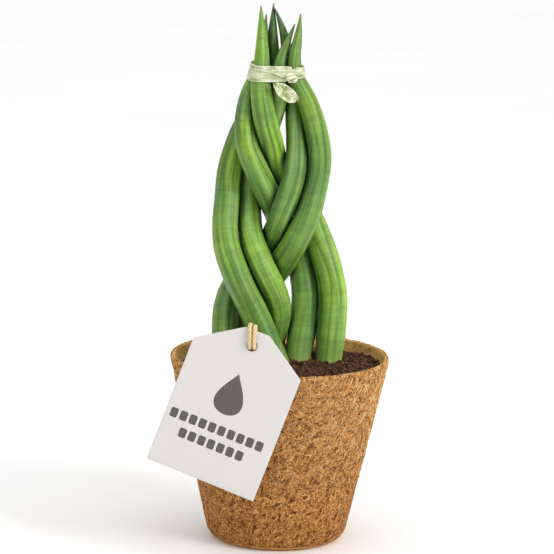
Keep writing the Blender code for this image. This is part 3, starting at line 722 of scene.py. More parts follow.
def inner_profile():
    """(radius, height) from the top of the rim down the inner wall to the inner floor."""
    rim = arc(LIP_MIDDLE, LIP, math.pi / 2, math.pi - WALL_ANGLE, 5)[1:]
    soil = np.array([wall_radius(POT_HEIGHT - 16 * MM, POT_WALL), POT_HEIGHT - 16 * MM])
    floor = np.array([wall_radius(POT_WALL + 4 * MM, POT_WALL), POT_WALL + 4 * MM])
    inner = np.array([floor[0] - 4 * MM, POT_WALL])
    return np.vstack([rim, straight(rim[-1], soil, 14)[1:], straight(soil, floor, 6), floor[None],
                      inner[None], [[8 * MM, POT_WALL]]])


def matting(points):
    """How far the matted wall stands out: soft lumps, matted bundles, and pits where the
    small noise falls below a level."""
    lumps = MAT_RELIEF * rough(points, 9 * MM, 2, 3)
    bundles = MAT_RELIEF * rough(points, 2.4 * MM, 3, 7)
    pits = eased(0.30, 0.75, noise(points, 1.7 * MM, 23))
    return lumps + bundles - PIT_DEPTH * pits, pits


def profile_normals(profile):
    """Outward directions square to a profile that runs upwards on its outer side."""
    along = np.gradient(profile, axis=0)
    along /= np.linalg.norm(along, axis=1)[:, None]
    return np.stack([along[:, 1], -along[:, 0]], axis=1)


def revolved(profile, columns):
    """A profile turned about Z: (points, outward normals) as rows x columns x 3."""
    level = level_place(full_circle(columns))

    def turned(values):
        upright = np.broadcast_to(values[:, 1:, None], (len(values), columns, 1))
        return np.concatenate([values[:, :1, None] * level, upright], axis=-1)

    return turned(profile), turned(profile_normals(profile))


def make_pot():
    """The pot's closed wall, turned from its section and roughened along its normal."""
    outer = outer_profile()
    under = straight(np.array([6 * MM, 0.0]), outer[0], 8)
    profile = np.vstack([under, outer, inner_profile()])
    points, outward = revolved(profile, POT_COLUMNS)
    out, pits = matting(points)
    grid = points + outward * out[..., None]
    grid[..., 2] = np.maximum(grid[..., 2], 0.05 * MM)
    return closed_tube("coir_wall", grid, {"pit": pits})


def strand_tubes(name, path, normal, thickness, marks):
    """Many fibres at once. path and normal are strands x rings x 3. Each fibre is a
    three-sided tube, its rings turned about the path, thinning to a point at both ends."""
    count, rings = path.shape[:2]
    along = np.gradient(path, axis=1)
    along /= np.maximum(np.linalg.norm(along, axis=2), 1e-9)[..., None]
    aside = np.cross(along, normal)
    aside /= np.maximum(np.linalg.norm(aside, axis=2), 1e-9)[..., None]
    raised = np.cross(aside, along)
    share = np.linspace(-1, 1, rings)[None, :]
    width = thickness[:, None] * (1 - 0.55 * share ** 2)
    corner = np.array([math.pi / 2, -math.pi / 6, -5 * math.pi / 6])
    ring = path[:, 1:-1, None, :] + width[:, 1:-1, None, None] * (
        np.cos(corner)[:, None] * aside[:, 1:-1, None, :]
        + np.sin(corner)[:, None] * raised[:, 1:-1, None, :])
    inner = rings - 2
    each = inner * 3 + 2
    points = np.concatenate([ring.reshape(count, -1, 3), path[:, :1], path[:, -1:]], axis=1)
    first = np.arange(3)
    after = (first + 1) % 3
    steps = 3 * np.arange(inner - 1)[:, None]
    quads = np.stack([steps + first, steps + 3 + first, steps + 3 + after, steps + after], axis=-1)
    quads = quads.reshape(-1, 4)
    last = 3 * (inner - 1)
    fans = np.vstack([np.stack([np.full(3, inner * 3), first, after], axis=1),
                      np.stack([np.full(3, inner * 3 + 1), last + after, last + first], axis=1)])
    shift = (np.arange(count) * each)[:, None, None]
    faces = [(quads[None] + shift).reshape(-1, 4), (fans[None] + shift).reshape(-1, 3)]
    marks = {key: np.repeat(values, each) for key, values in marks.items()}
    return make_piece(name, points.reshape(-1, 3), faces, marks)


def laid_strands(name, count, seed, profile, lengths, widths, bend, tones):
    """Fibres lying on a turned wall. A fibre starts at a drawn place and heading, its
    heading grows by its bend along it, and the sums of cosine and sine give its steps
    round and up the wall. It dips into the wall at both ends."""
    draw = np.random.default_rng(seed)
    run = running_length(profile)
    normal = profile_normals(profile)
    start = run[-1] * np.sqrt(draw.uniform(0.12, 1.0, count))
    angle = draw.uniform(0, TURN, count)
    heading = draw.uniform(0, math.pi, count)
    length = draw.uniform(*lengths, count)
    thickness = draw.uniform(*widths, count)
    curl = draw.normal(0, bend, count)
    sway = draw.normal(0, 0.35, count)
    share = np.linspace(-0.5, 0.5, 7)[None, :]
    way = (heading[:, None] + curl[:, None] * share * length[:, None]
           + sway[:, None] * np.sin(TURN * share))
    step = length[:, None] / 6
    across = np.cumsum(np.cos(way) * step, axis=1)
    rise = start[:, None] + np.cumsum(np.sin(way) * step, axis=1)
    rise = np.clip(rise, STRAND_EDGE, run[-1] - STRAND_EDGE)

    def turned(values):
        reach, height = (np.interp(rise, run, values[:, column])[..., None] for column in (0, 1))
        return np.concatenate([reach * level, height], axis=-1)

    radius = np.interp(rise, run, profile[:, 0])
    level = level_place(angle[:, None] + across / radius)
    place, outward = turned(profile), turned(normal)
    lift = matting(place)[0] + thickness[:, None] * (1.1 - 2.6 * (2 * share) ** 4)
    path = place + outward * lift[..., None]
    path[..., 2] = np.maximum(path[..., 2], STRAND_EDGE)
    tone = np.clip(draw.choice(tones, count) + draw.normal(0, 0.07, count), 0, 1)
    return strand_tubes(name, path, outward, thickness, {"tone": tone})


def make_coir_finishes():
    """(matted wall, loose fibres). Both run from dark brown through golden brown to straw, darken
    and redden towards the foot of the pot as painted shade and in darker reddish patches, and are
    paler inside the wall as painted light on the inner wall."""
    tree, given, out = new_group("coir_tone", [("Tone", "NodeSocketFloat", 0.5),
                                               ("Vector", "NodeSocketVector", None)],
                                 [("Colour", "NodeSocketColor"), ("Fine", "NodeSocketFloat")])
    band = new_node(tree, "ShaderNodeValToRGB", {0: given["Tone"]})
    stops = band.color_ramp.elements
    for at, colour in ((0.0, (0.115, 0.042, 0.012)), (0.35, (0.50, 0.235, 0.066)),
                       (0.6, (0.79, 0.44, 0.155)), (1.0, (0.98, 0.75, 0.40))):
        stop = stops.new(at) if 0.0 < at < 1.0 else stops[0 if at == 0.0 else len(stops) - 1]
        stop.color = (*colour, 1.0)
    patches = mottled(given["Vector"], 130.0, 1.4)
    split = new_node(tree, "ShaderNodeSeparateXYZ", {0: given["Vector"]}).outputs
    # painted shade darkens and reddens the pot towards its foot; darker reddish patches are added
    # to it
    foot_shade_and_patches = ramp(split["Z"], 0.0, 0.085, 0.85, 0.0)
    foot_shade_and_patches = plus(foot_shade_and_patches, ramp(patches["Tone"], 0.50, 0.78, 0.0, 0.5), True)
    colour = blend(foot_shade_and_patches, band.outputs["Color"], (0.40, 0.17, 0.05), "MULTIPLY")
    colour = blend(0.45, band.outputs["Color"], colour)
    # painted light: paler and warmer inside the wall, where the inner wall faces away from the lamp
    level = vector_maths("MULTIPLY", given["Vector"], (1.0, 1.0, 0.0))
    reach = vector_maths("LENGTH", level, output="Value")
    wall = plus(times(split["Z"], WALL_SLOPE), BASE_RADIUS)
    inner_wall_painted_light = ramp(minus(wall, reach), POT_WALL * 0.55, POT_WALL * 0.95)
    colour = blend(inner_wall_painted_light, colour, (0.50, 0.24, 0.075), "SCREEN")
    feed(out, "Colour", colour)
    feed(out, "Fine", patches["Speckle"])
    finishes = []
    for name in ("matted_coir", "coir_fibre"):
        finish, branch, shader = new_finish(name, Roughness=0.92, Specular_IOR_Level=0.15)
        place = object_place(branch)
        bent = cloud(place, 160.0, 2.0)
        shift = joined_numbers(times(bent, 0.006), 0.0, times(bent, 0.008))
        bent_place = vector_maths("ADD", place, shift)
        flat_and_tall = (cloud(stretched(bent_place, scale), 1.0, 3.0, 0.65)
                         for scale in ((380.0, 380.0, 1500.0), (1500.0, 1500.0, 380.0)))
        fibres = maths("MAXIMUM", *flat_and_tall)
        if name == "matted_coir":
            tone = ramp(fibres, 0.42, 0.72, 0.05, 0.74)
            tone = minus(tone, times(mark(branch, "pit"), 0.35), True)
        else:
            wiggle = times(minus(fibres, 0.55), 0.5)
            tone = plus(mark(branch, "tone"), wiggle, True)
        coir = place_group(branch, tree, {"Tone": tone, "Vector": place}).outputs
        feed(shader, "Base Color", coir["Colour"])
        bumped(shader, plus(fibres, coir["Fine"]), 0.3 * MM, 0.8)
        finishes.append(finish)
    return finishes


coir_wall_finish, coir_fibre_finish = make_coir_finishes()
finish_piece(make_pot(), coir_wall_finish, "coir", "coir_pot")
COIR_TONES = (0.05, 0.22, 0.40, 0.5, 0.56, 0.62, 0.72, 0.92)
outside = outer_profile()
inside = inner_profile()[:18][::-1]
# name, count, seed, section, lengths and half widths in mm, bend per metre, tones
for piece_name, count, seed, profile, lengths, widths, bend, tones in (
        ("coir_bundles", 6400, 5, outside, (3.5, 8), (0.13, 0.23), 110.0, COIR_TONES),
        ("coir_hairs", 6400, 6, outside, (2.5, 6), (0.09, 0.16), 150.0, COIR_TONES),
        ("coir_crumbled_hairs", 6400, 9, outside, (1.6, 4), (0.10, 0.17), 180.0, COIR_TONES),
        ("coir_long_fibres", 170, 7, outside, (10, 20), (0.13, 0.20), 50.0, (0.75, 0.85, 0.95)),
        # the inner fibres' paler tones are painted light on the inner wall
        ("coir_inner_fibres", 1900, 8, inside, (2.5, 7), (0.12, 0.22), 110.0, (0.45, 0.6, 0.75))):
    fibres = laid_strands(piece_name, count, seed, profile, np.array(lengths) * MM,
                          np.array(widths) * MM, bend, tones)
    finish_piece(fibres, coir_fibre_finish, "coir")


# ---- soil ---------------------------------------------------------------------------
SOIL_COLUMNS = 440
SOIL_HEAP = 2.0 * MM            # of loose compost over the CAD's crown, against the leaves
SOIL_FALL = 3.5 * MM            # from the crown to the wall
SOIL_RIGHT_RISE = 1.8 * MM      # higher than that against the wall on the right
SOIL_REACH = 57.5 * MM          # of loose crumbs and fibres from the middle


def soil_surface(level):
    """Height of the soil at flat places: level under the leaves, easing down to the wall,
    with clods, crumbs and grains of noise."""
    radius = np.linalg.norm(level, axis=-1)
    edge = wall_radius(POT_HEIGHT - SOIL_EDGE_DROP, POT_WALL)
    fall = eased(SOIL_CROWN_RADIUS, edge, radius)
    base = CROWN_HEIGHT + SOIL_HEAP - (SOIL_HEAP + SOIL_FALL) * fall
    base = base + SOIL_RIGHT_RISE * eased(18 * MM, 50 * MM, level[..., 0]) * fall
    flat = np.concatenate([level, np.zeros(level.shape[:-1] + (1,))], axis=-1)
    relief = 0.9 * MM * rough(flat, 7 * MM, 2, 31) + 0.5 * MM * rough(flat, 2.2 * MM, 2, 37)
    return base - 0.3 * MM + relief


def make_soil():
    """A closed body: out along its floor, up beside the wall, and in over its top."""
    inset = POT_WALL + 0.3 * MM
    edge_height = POT_HEIGHT - SOIL_EDGE_DROP
    edge = wall_radius(POT_HEIGHT - 6 * MM, POT_WALL)
    low = POT_WALL + 4 * MM
    side = straight((wall_radius(low, inset), low),
                    (wall_radius(edge_height, inset), edge_height - 2 * MM), 8)
    floor = np.array([[5 * MM, inset], [side[0, 0] - 4 * MM, inset]])
    top = np.linspace(edge, 1 * MM, 104)
    profile = np.vstack([floor, side, np.stack([top, np.full(len(top), edge_height)], axis=1)])
    grid = revolved(profile, SOIL_COLUMNS)[0]
    first = len(profile) - len(top)
    grid[first:, :, 2] = soil_surface(grid[first:, :, :2])
    return closed_tube("compost_body", grid)


def make_crumbs(count, seed):
    """Loose crumbs: a ball of 12 corners and 20 faces each, its corners knocked in and out
    and the whole stretched."""
    draw = np.random.default_rng(seed)
    golden = (1 + math.sqrt(5)) / 2
    ball = np.array([(-1, golden, 0), (1, golden, 0), (-1, -golden, 0), (1, -golden, 0),
                     (0, -1, golden), (0, 1, golden), (0, -1, -golden), (0, 1, -golden),
                     (golden, 0, -1), (golden, 0, 1), (-golden, 0, -1), (-golden, 0, 1)]) / 1.9
    faces = np.array([(0, 11, 5), (0, 5, 1), (0, 1, 7), (0, 7, 10), (0, 10, 11), (1, 5, 9),
                      (5, 11, 4), (11, 10, 2), (10, 7, 6), (7, 1, 8), (3, 9, 4), (3, 4, 2),
                      (3, 2, 6), (3, 6, 8), (3, 8, 9), (4, 9, 5), (2, 4, 11), (6, 2, 10),
                      (8, 6, 7), (9, 8, 1)])
    reach = SOIL_REACH * np.sqrt(draw.uniform(0, 1, count))
    angle = draw.uniform(0, TURN, count)
    level = level_place(angle, reach)
    size = 0.35 * MM + 1.1 * MM * draw.power(0.6, count) * 0.9
    knocked = ball[None] * draw.uniform(0.6, 1.25, (count, 12, 1))
    shape = knocked * draw.uniform(0.7, 1.2, (count, 1, 3))
    centre = np.column_stack([level, soil_surface(level) + 0.25 * size])
    points = centre[:, None, :] + shape * size[:, None, None]
    every = (faces[None] + (np.arange(count) * 12)[:, None, None]).reshape(-1, 3)
    marks = {"tone": np.repeat(draw.uniform(0, 1, count), 12)}
    return make_piece("compost_crumbs", points.reshape(-1, 3), [every], marks, smooth=False)


def make_soil_fibres(count, seed):
    """Short rusty bits of root and coir lying on the soil."""
    draw = np.random.default_rng(seed)
    reach = (SOIL_REACH - 0.5 * MM) * np.sqrt(draw.uniform(0, 1, count))
    angle = draw.uniform(0, TURN, count)
    heading = draw.uniform(0, TURN, count)[:, None]
    length = draw.uniform(2 * MM, 8 * MM, count)[:, None]
    share = np.linspace(-0.5, 0.5, 6)[None, :]
    way = heading + draw.normal(0, 1.0, count)[:, None] * share
    level = level_place(angle, reach)[:, None] + level_place(way, length * share)
    radius = np.linalg.norm(level, axis=-1)
    level *= np.minimum(1.0, SOIL_REACH / np.maximum(radius, 1e-6))[..., None]
    thickness = draw.uniform(0.12 * MM, 0.26 * MM, count)
    height = soil_surface(level) + thickness[:, None] * (2.0 - 4 * np.abs(share))
    path = np.concatenate([level, height[..., None]], axis=-1)
    upward = np.broadcast_to(np.array([0.0, 0.0, 1.0]), path.shape)
    marks = {"tone": draw.uniform(0, 1, count)}
    return strand_tubes("compost_fibres", path, upward, thickness, marks)


def make_soil_finishes():
    """(soil, crumbs, rusty fibres): dark brown earth with redder and blacker grains."""
    made = []
    for name, dark, light in (("compost", (0.030, 0.013, 0.008), (0.115, 0.050, 0.030)),
                              ("compost_crumb", (0.022, 0.010, 0.007), (0.16, 0.075, 0.045)),
                              ("rusty_fibre", (0.11, 0.04, 0.02), (0.34, 0.17, 0.09))):
        finish, tree, shader = new_finish(name, Roughness=0.95, Specular_IOR_Level=0.2)
        place = object_place(tree)
        tone = mottled(place, 260.0, 1.8)
        share = tone["Tone"]
        if name != "compost":
            share = plus(times(share, 0.4), times(mark(tree, "tone"), 0.6))
        feed(shader, "Base Color", blend(ramp(share, 0.25, 0.8), dark, light))
        grain = cloud(place, 1900.0, 2.0)
        bumped(shader, plus(grain, tone["Speckle"]), 0.4 * MM, 0.9)
        made.append(finish)
    return made


soil_finish, crumb_finish, root_finish = make_soil_finishes()
finish_piece(make_soil(), soil_finish, "soil", "potting_soil")
finish_piece(make_crumbs(2600, 41), crumb_finish, "soil")
finish_piece(make_soil_fibres(800, 43), root_finish, "soil")


# ---- tag ----------------------------------------------------------------------------
TAG_WIDTH = 64.5 * MM
TAG_LENGTH = 90 * MM
TAG_SHOULDER = 16.5 * MM
TAG_TOP = 14 * MM
TAG_THICKNESS = 1.0 * MM
TAG_HOLE_RADIUS = 3.05 * MM
TAG_HOLE_DROP = 8.8 * MM
TAG_TURN = math.radians(19.5)
BOW_DOWN = 1.1 * MM
BOW_ACROSS = 0.5 * MM
DROP_HALF_WIDTH = 11.61 * MM    # before its point is drawn in
DROP_HALF_HEIGHT = 12.2 * MM
BLOCK_HALF = np.array([2.15, 2.75]) * MM
BLOCK_CORNER = 1.2 * MM
BLOCK_PITCH = 5.7 * MM
BLOCKS_ACROSS = -1.5 * MM       # middle of the rows from the hole
BLOCK_ROWS = ((-51.0 * MM, 10), (-60.2 * MM, 7))
TAG_HOLE = np.array([-15.5, -61.489, 125.5]) * MM
TAG_ACROSS = np.array([0.99452186, -0.10452858, 0.0])
TAG_OUTWARD = np.array([-0.10413082, -0.99073744, 0.08715572])
TAG_UP = np.array([0.00911026, 0.08667827, 0.99619472])


def card_place(flat, out):
    """A point of the card from its own flat measures, across and up from the hole: the card
    is turned clockwise in its plane and bows outward by the square of both."""
    across, rise = flat[..., 0], flat[..., 1]
    bow = (BOW_DOWN * (np.minimum(rise, 0.0) / TAG_LENGTH) ** 2
           + BOW_ACROSS * (across / TAG_WIDTH * 2) ** 2)
    level = across * math.cos(TAG_TURN) + rise * math.sin(TAG_TURN)
    upright = rise * math.cos(TAG_TURN) - across * math.sin(TAG_TURN)
    return (TAG_HOLE + level[..., None] * TAG_ACROSS + upright[..., None] * TAG_UP
            + (out + bow)[..., None] * TAG_OUTWARD)


def rounded_outline(corners, radius, step):
    """A polygon's outline with each corner rounded by a quadratic curve, at even steps."""
    corners = np.asarray(corners, float)
    before = np.roll(corners, 1, axis=0) - corners
    after = np.roll(corners, -1, axis=0) - corners
    enter = corners + before / np.linalg.norm(before, axis=1)[:, None] * radius
    leave = corners + after / np.linalg.norm(after, axis=1)[:, None] * radius
    share = np.linspace(0, 1, 7)[None, :, None]
    bend = ((1 - share) ** 2 * enter[:, None] + 2 * share * (1 - share) * corners[:, None]
            + share ** 2 * leave[:, None])
    points = []
    for index in range(len(corners)):
        follow = enter[(index + 1) % len(corners)]
        count = max(int(np.linalg.norm(follow - leave[index]) / step), 1)
        points += [bend[index], np.linspace(leave[index], follow, count + 1)[1:-1]]
    return np.vstack(points)


def make_card():
    """The card as a grid: columns round the outline, rows from the hole out over the front
    face, round the edge, back over the rear face and through the hole."""
    half, top = TAG_WIDTH / 2, TAG_HOLE_DROP
    bottom, shoulder = top - TAG_LENGTH, top - TAG_SHOULDER
    corners = [(TAG_TOP / 2, top), (half, shoulder), (half, bottom), (-half, bottom),
               (-half, shoulder), (-TAG_TOP / 2, top)]
    outline = rounded_outline(corners, 1.0 * MM, 1.1 * MM)
    reach = np.linalg.norm(outline, axis=1)
    heading = outline / reach[:, None]
    thick = TAG_THICKNESS / 2
    soft = 0.16 * MM
    face = np.concatenate([[0.0], np.linspace(0.02, 1.0, 24)])
    rows = [(share, 0.0, thick) for share in face]
    rows += [(1.0, 0.6 * soft, thick - 0.25 * soft), (1.0, soft, thick - soft),
             (1.0, soft, -thick + soft), (1.0, 0.6 * soft, -thick + 0.25 * soft)]
    rows += [(share, 0.0, -thick) for share in face[::-1]]
    rows += [(0.0, -soft, -thick + soft), (0.0, -soft, thick - soft)]
    share, grow, out = (np.array(column)[:, None] for column in zip(*rows))
    inner = TAG_HOLE_RADIUS + soft
    distance = inner + share * (reach[None, :] - soft - inner) + grow
    flat = distance[..., None] * heading[None]
    ring = np.arange(len(outline))
    after = (ring + 1) % len(ring)
    last = (len(rows) - 1) * len(ring)
    seam = np.stack([last + ring, last + after, after, ring], axis=1)
    return make_piece("tag_card_soft_edged", card_place(flat, out).reshape(-1, 3),
                      [grid_faces(len(rows), len(ring), True), seam], uv=flat.reshape(-1, 2))


def printed_patch(outline, centre):
    """A raised patch of ink: the outline at the card's face, the same a little above it, and
    rings drawn in to its middle."""
    rows = np.array([(1.0, -0.02), (1.0, 0.03), (0.97, 0.045), (0.66, 0.05), (0.33, 0.05),
                     (0.04, 0.05)])
    share, rise = rows[:, :1], rows[:, 1:] * MM
    return card_place(centre + (outline - centre) * share[..., None], TAG_THICKNESS / 2 + rise)


def make_print():
    """A plain drop of water above two rows of rounded blocks, in one thin layer of ink."""
    sweep = np.linspace(0, TURN, 72, endpoint=False)
    drop_centre = np.array([-1.0, -29.5]) * MM
    drop = np.stack([-DROP_HALF_WIDTH * np.sin(sweep) * np.sin(sweep / 2) ** 1.4,
                     DROP_HALF_HEIGHT * np.cos(sweep)], axis=1) + drop_centre
    grids = [printed_patch(drop, drop_centre - np.array([0, 4 * MM]))]
    square = np.array([(-1, -1), (1, -1), (1, 1), (-1, 1)]) * BLOCK_HALF
    block = rounded_outline(square, BLOCK_CORNER, BLOCK_CORNER)
    for rise, count in BLOCK_ROWS:
        for number in range(count):
            place = np.array([(number - (count - 1) / 2) * BLOCK_PITCH + BLOCKS_ACROSS, rise])
            grids.append(printed_patch(block + place, place))
    return grids


def joined_tubes(name, grids):
    """Several closed tubes as one mesh."""
    made = [closed_tube(name + "_part", grid) for grid in grids]
    with bpy.context.temp_override(active_object=made[0], selected_editable_objects=made):
        bpy.ops.object.join()
    made[0].name = name
    made[0].data.name = name
    return made[0]


def make_card_finishes():
    """(card, ink): uncoated card with a faint clouding and short fibres, and matt ink."""
    made = []
    for name, dull, gloss, size, depth, dark, light in (
            ("uncoated_card", 0.8, 0.3, 60.0, 0.8, (0.645, 0.612, 0.594), (0.71, 0.682, 0.668)),
            ("grey_ink", 0.6, 0.35, 300.0, 0.9, (0.085, 0.074, 0.070), (0.13, 0.118, 0.112))):
        finish, tree, shader = new_finish(name, Roughness=dull, Specular_IOR_Level=gloss)
        place = object_place(tree)
        tone = mottled(place, size, depth)
        feed(shader, "Base Color", blend(tone["Tone"], dark, light))
        if name == "grey_ink":
            bumped(shader, tone["Speckle"], 0.02 * MM, 0.4)
        else:
            bumped(shader, cloud(place, 1500.0, 3.0), 0.05 * MM, 0.5)
        made.append(finish)
    return made


card_finish, ink_finish = make_card_finishes()
finish_piece(make_card(), card_finish, "card", "tag_card")
finish_piece(joined_tubes("tag_print", make_print()), ink_finish, "card")


# ---- ribbon tie ---------------------------------------------------------------------
RIBBON_THICKNESS = 0.14 * MM
WRAP_CREASE = 0.42 * MM
TAIL_CREASE = 0.55 * MM
TAIL_HALF_LENGTH = 9.3 * MM
TAIL_HALF_WIDTH = 3.9 * MM
BAND_LOW, BAND_HIGH = (corner.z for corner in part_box("tie_band"))
BAND_MIDDLE = (BAND_LOW + BAND_HIGH) / 2
band_levels = np.linspace(BAND_LOW + 0.1 * MM, BAND_HIGH - 0.1 * MM, 7)
band_angles = np.linspace(-math.pi, math.pi, 180, endpoint=False)
BAND_CENTRE = middle_and_half("tie_band")[0][:2]
band_reach = level_reach("tie_band", band_levels, BAND_CENTRE, band_angles)


def band_place(angle, height, out):
    """A point standing off the CAD band's outer face, read from its outline at the nearest
    heights and angles."""
    column = (np.mod(angle + math.pi, TURN) / TURN) * len(band_angles)
    share = np.clip((height - band_levels[0]) / (band_levels[-1] - band_levels[0]), 0, 0.9999)
    reach = read_between(band_reach, share * (len(band_levels) - 1), column) + out
    return np.concatenate([BAND_CENTRE + level_place(angle, reach), height[..., None]], axis=-1)


def creased(points, size, seed):
    """Crumpled creases from -1 to 0: the noise's distance from nought makes sharp valleys."""
    return -np.abs(noise(points, size, seed)) - 0.5 * np.abs(noise(points, size / 2.2, seed + 5))


def crumpled_strip(name, along, place):
    """A thin closed strip. place(along, across, out) gives a point; the columns go down its
    outer face, a thickness out, and up its inner face."""
    across = np.linspace(0, 1, 26)
    share = np.concatenate([across, across[::-1]])[None, :]
    out = RIBBON_THICKNESS * np.repeat([1.0, 0.0], len(across))[None, :]
    grid, marks = place(along[:, None], share, out)
    marks = {key: values + 0 * grid[..., 0] for key, values in marks.items()}
    return closed_tube(name, grid, marks)


def make_wrap(name, first, last, upper, lower, stand_off, seed):
    """One turn of ribbon between two edges, each a height as a function of the across
    position, with pleats along it, creases, and a gather where the knot pulls it in."""
    def place(angle, share, side):
        angle = angle + 0.0 * share
        across = BAND_CENTRE[0] + 15 * MM * np.cos(angle)
        front = eased(0.2, 0.7, -np.sin(angle))
        top, bottom = upper(across, front), lower(across, front)
        height = top + (bottom - top) * share
        flat = np.stack([across * 0.45, height * 2.0, np.sin(angle) * 5 * MM], axis=-1)
        pleat = 0.22 * MM * np.abs(np.sin(share * 9 + 2.2 * noise(flat, 16 * MM, seed)))
        crease = creased(flat, 3.6 * MM, seed + 2)
        edge = 0.25 * MM * noise(flat, 3 * MM, seed + 9)
        grow = stand_off + 0.35 * MM * (angle - first) / TURN
        out = grow + pleat + WRAP_CREASE * crease + side
        grid = band_place(angle, height + edge * (1 - 2 * share), out)
        rim = np.exp(-np.minimum(share, 1 - share) / 0.06)
        return grid, {"edge": rim, "crease": -crease}

    return crumpled_strip(name, np.linspace(first, last, 300), place)


def full_upper(across, front):
    """The ribbon's upper edge: higher at its left end and lower on the right of its front."""
    return (BAND_HIGH + 0.2 * MM + 1.2 * MM * eased(-14 * MM, -19 * MM, across)
            - 0.8 * MM * front * eased(0, 9 * MM, across))


def full_lower(across, front):
    """The ribbon's lower edge: higher on the right, where the knot gathers it."""
    return BAND_LOW + 0.2 * MM + 4.2 * MM * eased(-1 * MM, 9 * MM, across)


def folded_lower(across, front):
    """The upper fold's edge slants down from the left to the knot."""
    slant = BAND_MIDDLE + 1.6 * MM - 4.0 * MM * eased(-13 * MM, 4 * MM, across)
    return (slant * front + (BAND_MIDDLE - 0.5 * MM) * (1 - front)
            + 0.8 * MM * front * eased(4 * MM, 10 * MM, across))


def make_ribbon_knot():
    """A pulled-in lump: a ball stretched to the CAD knot's box, with ribs that run into it
    from both sides, as radius = 1 + ribs * sin(ribs' angle) and creases."""
    middle, half = middle_and_half("tie_knot")
    polar = np.linspace(0.02, math.pi - 0.02, 40)[:, None]
    angle = full_circle(64)
    around = level_place(angle, np.sin(polar))
    shape = np.concatenate([np.cos(polar)[..., None] + 0 * around[..., :1], around], axis=-1)
    ribs = 1 + 0.16 * np.sin(5 * angle + 3 * np.cos(polar)) * np.sin(polar)
    ribs = ribs + 0.30 * creased(shape, 0.7, 61)
    grid = middle + shape * ribs[..., None] * (half + 0.25 * MM) * np.array([1.0, 1.15, 1.0])
    deep = np.clip((1.0 - ribs) / 0.3, 0.0, 1.0)
    marks = {"edge": 0.7 * (1 - deep)[::-1], "crease": deep[::-1]}
    return closed_tube("ribbon_knot", grid[::-1], marks)


def make_ribbon_tail():
    """The ribbon's cut end: along its length the half width is a rounded bar's,
    (1 - |u| ** 3.4) ** 0.5, narrower at the knot, with veins along it, creases, and edges
    and ends that curl outward by the squares of the places across and along."""
    points = point_places("tie_tail")
    middle = (points.max(0) + points.min(0)) / 2
    axes = np.linalg.svd(points - middle, full_matrices=False)[2]
    long_way = axes[0] * np.sign(axes[0][0])
    wide_way = axes[1] * np.sign(axes[1][2])
    outward = np.cross(long_way, wide_way)
    outward *= np.sign(-outward[1])

    def place(share, across, side):
        half = TAIL_HALF_WIDTH * np.sqrt(np.maximum(1 - np.abs(share) ** 3.4, 0.02))
        half = half * (0.5 + 0.5 * eased(-1.0, -0.15, share)) * (1 - 0.12 * eased(0.5, 1.0, share))
        wide = (1 - 2 * across) * half
        long = share * TAIL_HALF_LENGTH + 0.5 * MM * (1 - 2 * across) * eased(0.3, 1.0, share)
        flat = np.stack([long, wide * 1.6, 0 * long], axis=-1)
        vein = 0.20 * MM * np.abs(np.sin(2.6 * wide / MM * 0.8 + 1.5 * noise(flat, 9 * MM, 71)))
        crease = creased(flat, 2.4 * MM, 73)
        curl = 0.9 * MM * ((1 - 2 * across) ** 2 + share ** 2)
        out = vein + TAIL_CREASE * crease + curl + side
        grid = middle + sum(length[..., None] * way for length, way in (
            (long, long_way), (wide, wide_way), (out, outward)))
        rim = np.exp(-np.minimum(across, 1 - across) / 0.07)
        return grid, {"edge": rim, "crease": -crease}

    return crumpled_strip("ribbon_tail", np.linspace(-0.995, 0.995, 90), place)


def make_ribbon_finish():
    """Thin crumpled ribbon that lets some of what is behind it through: palest on its edges,
    lighter on its crests as a painted highlight, and darker yellow-green in its creases as painted
    shade."""
    finish, tree, shader = new_finish("pale_ribbon", Roughness=0.34, Specular_IOR_Level=0.6)
    place = object_place(tree)
    tone = mottled(place, 240.0, 1.5)
    # painted light and shade: lighter on the crests and darker yellow-green in the creases
    crest_light = minus(1.0, times(mark(tree, "crease"), 0.9), True)
    share = plus(times(tone["Tone"], 0.45), times(crest_light, 0.5), True)
    colour = blend(ramp(share, 0.2, 0.85), (0.34, 0.41, 0.12), (0.86, 0.89, 0.66))
    colour = blend(times(mark(tree, "edge"), 0.8), colour, (0.95, 0.94, 0.76))
    feed(shader, "Base Color", colour)
    cover = ramp(share, 0.25, 0.85, 0.52, 0.84)
    cover = plus(cover, times(mark(tree, "edge"), 0.3), clamp=True)
    feed(shader, "Alpha", cover)
    fine = cloud(stretched(place, (500.0, 500.0, 1600.0)), 1.0, 3.0, 0.6)
    bumped(shader, fine, 0.2 * MM, 0.5)
    return finish


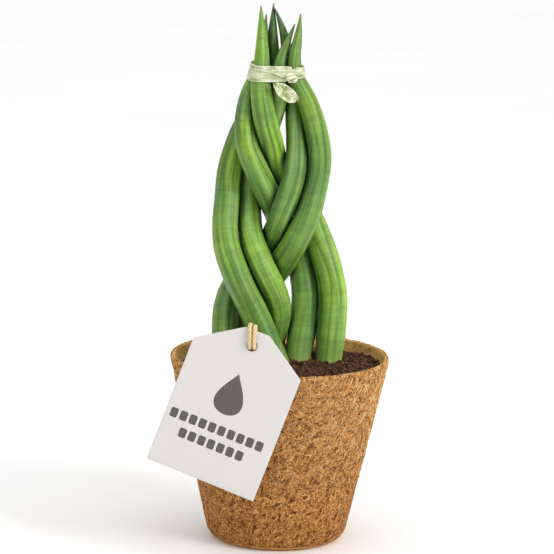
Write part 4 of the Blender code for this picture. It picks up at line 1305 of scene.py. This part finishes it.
ribbon_finish = make_ribbon_finish()
start_angle = math.radians(100)
under_wrap = make_wrap("ribbon_under_wrap", start_angle, start_angle + TURN + 0.3, full_upper,
                       full_lower, -0.5 * MM, 51)
over_wrap = make_wrap("ribbon_over_wrap", math.radians(185), math.radians(352), full_upper,
                      folded_lower, 0.0, 57)
finish_piece(under_wrap, ribbon_finish, "ribbon", "tie_band")
finish_piece(over_wrap, ribbon_finish, "ribbon")
finish_piece(make_ribbon_knot(), ribbon_finish, "ribbon", "tie_knot")
finish_piece(make_ribbon_tail(), ribbon_finish, "ribbon", "tie_tail")


# ---- stage --------------------------------------------------------------------------
FLOOR_HALF = 12.0


def make_floor():
    """A plain pale floor, level and smooth."""
    axis = np.linspace(-FLOOR_HALF, FLOOR_HALF, 3)
    across, away = np.meshgrid(axis, axis)
    points = np.stack([across, away, np.zeros_like(across)], axis=-1)
    floor = make_piece("floor", points.reshape(-1, 3), [grid_faces(3, 3, False)])
    finish, tree, shader = new_finish("pale_floor", Roughness=0.9, Specular_IOR_Level=0.0)
    place = object_place(tree)
    even = ramp(cloud(place, 3.0), 0.3, 0.7)
    feed(shader, "Base Color", blend(even, (0.965, 0.965, 0.965), (0.985, 0.985, 0.985)))
    floor.data.materials.append(finish)


def soft_light(name, place, aim, size, power, colour):
    """A round lamp of that width that looks at a point."""
    data = bpy.data.lights.new(name, "AREA")
    data.shape = "DISK"
    data.size = size
    data.energy = power
    data.color = colour
    lamp = bpy.data.objects.new(name, data)
    lamp.location = place
    lamp.rotation_mode = "QUATERNION"
    lamp.rotation_quaternion = (Vector(aim) - Vector(place)).to_track_quat("-Z", "Y")
    bpy.context.scene.collection.objects.link(lamp)


def make_sky(horizon, zenith):
    """An even white studio that brightens from the horizon to overhead."""
    world = bpy.data.worlds.new("studio")
    world.use_nodes = True
    tree = world.node_tree
    direction = new_node(tree, "ShaderNodeTexCoord").outputs["Generated"]
    height = new_node(tree, "ShaderNodeSeparateXYZ", {0: direction}).outputs["Z"]
    inputs = {0: height, 1: 0.0, 2: 1.0, 3: horizon, 4: zenith}
    background = tree.nodes["Background"]
    feed(background, "Strength", new_node(tree, "ShaderNodeMapRange", inputs).outputs[0])
    background.inputs["Color"].default_value = (1.0, 1.0, 1.0, 1.0)
    bpy.context.scene.world = world


make_floor()
make_sky(0.36, 1.30)
soft_light("key", (1.25, -1.0, 1.0), (0, 0, 0.15), 0.8, 15.5, (1.0, 0.985, 0.96))
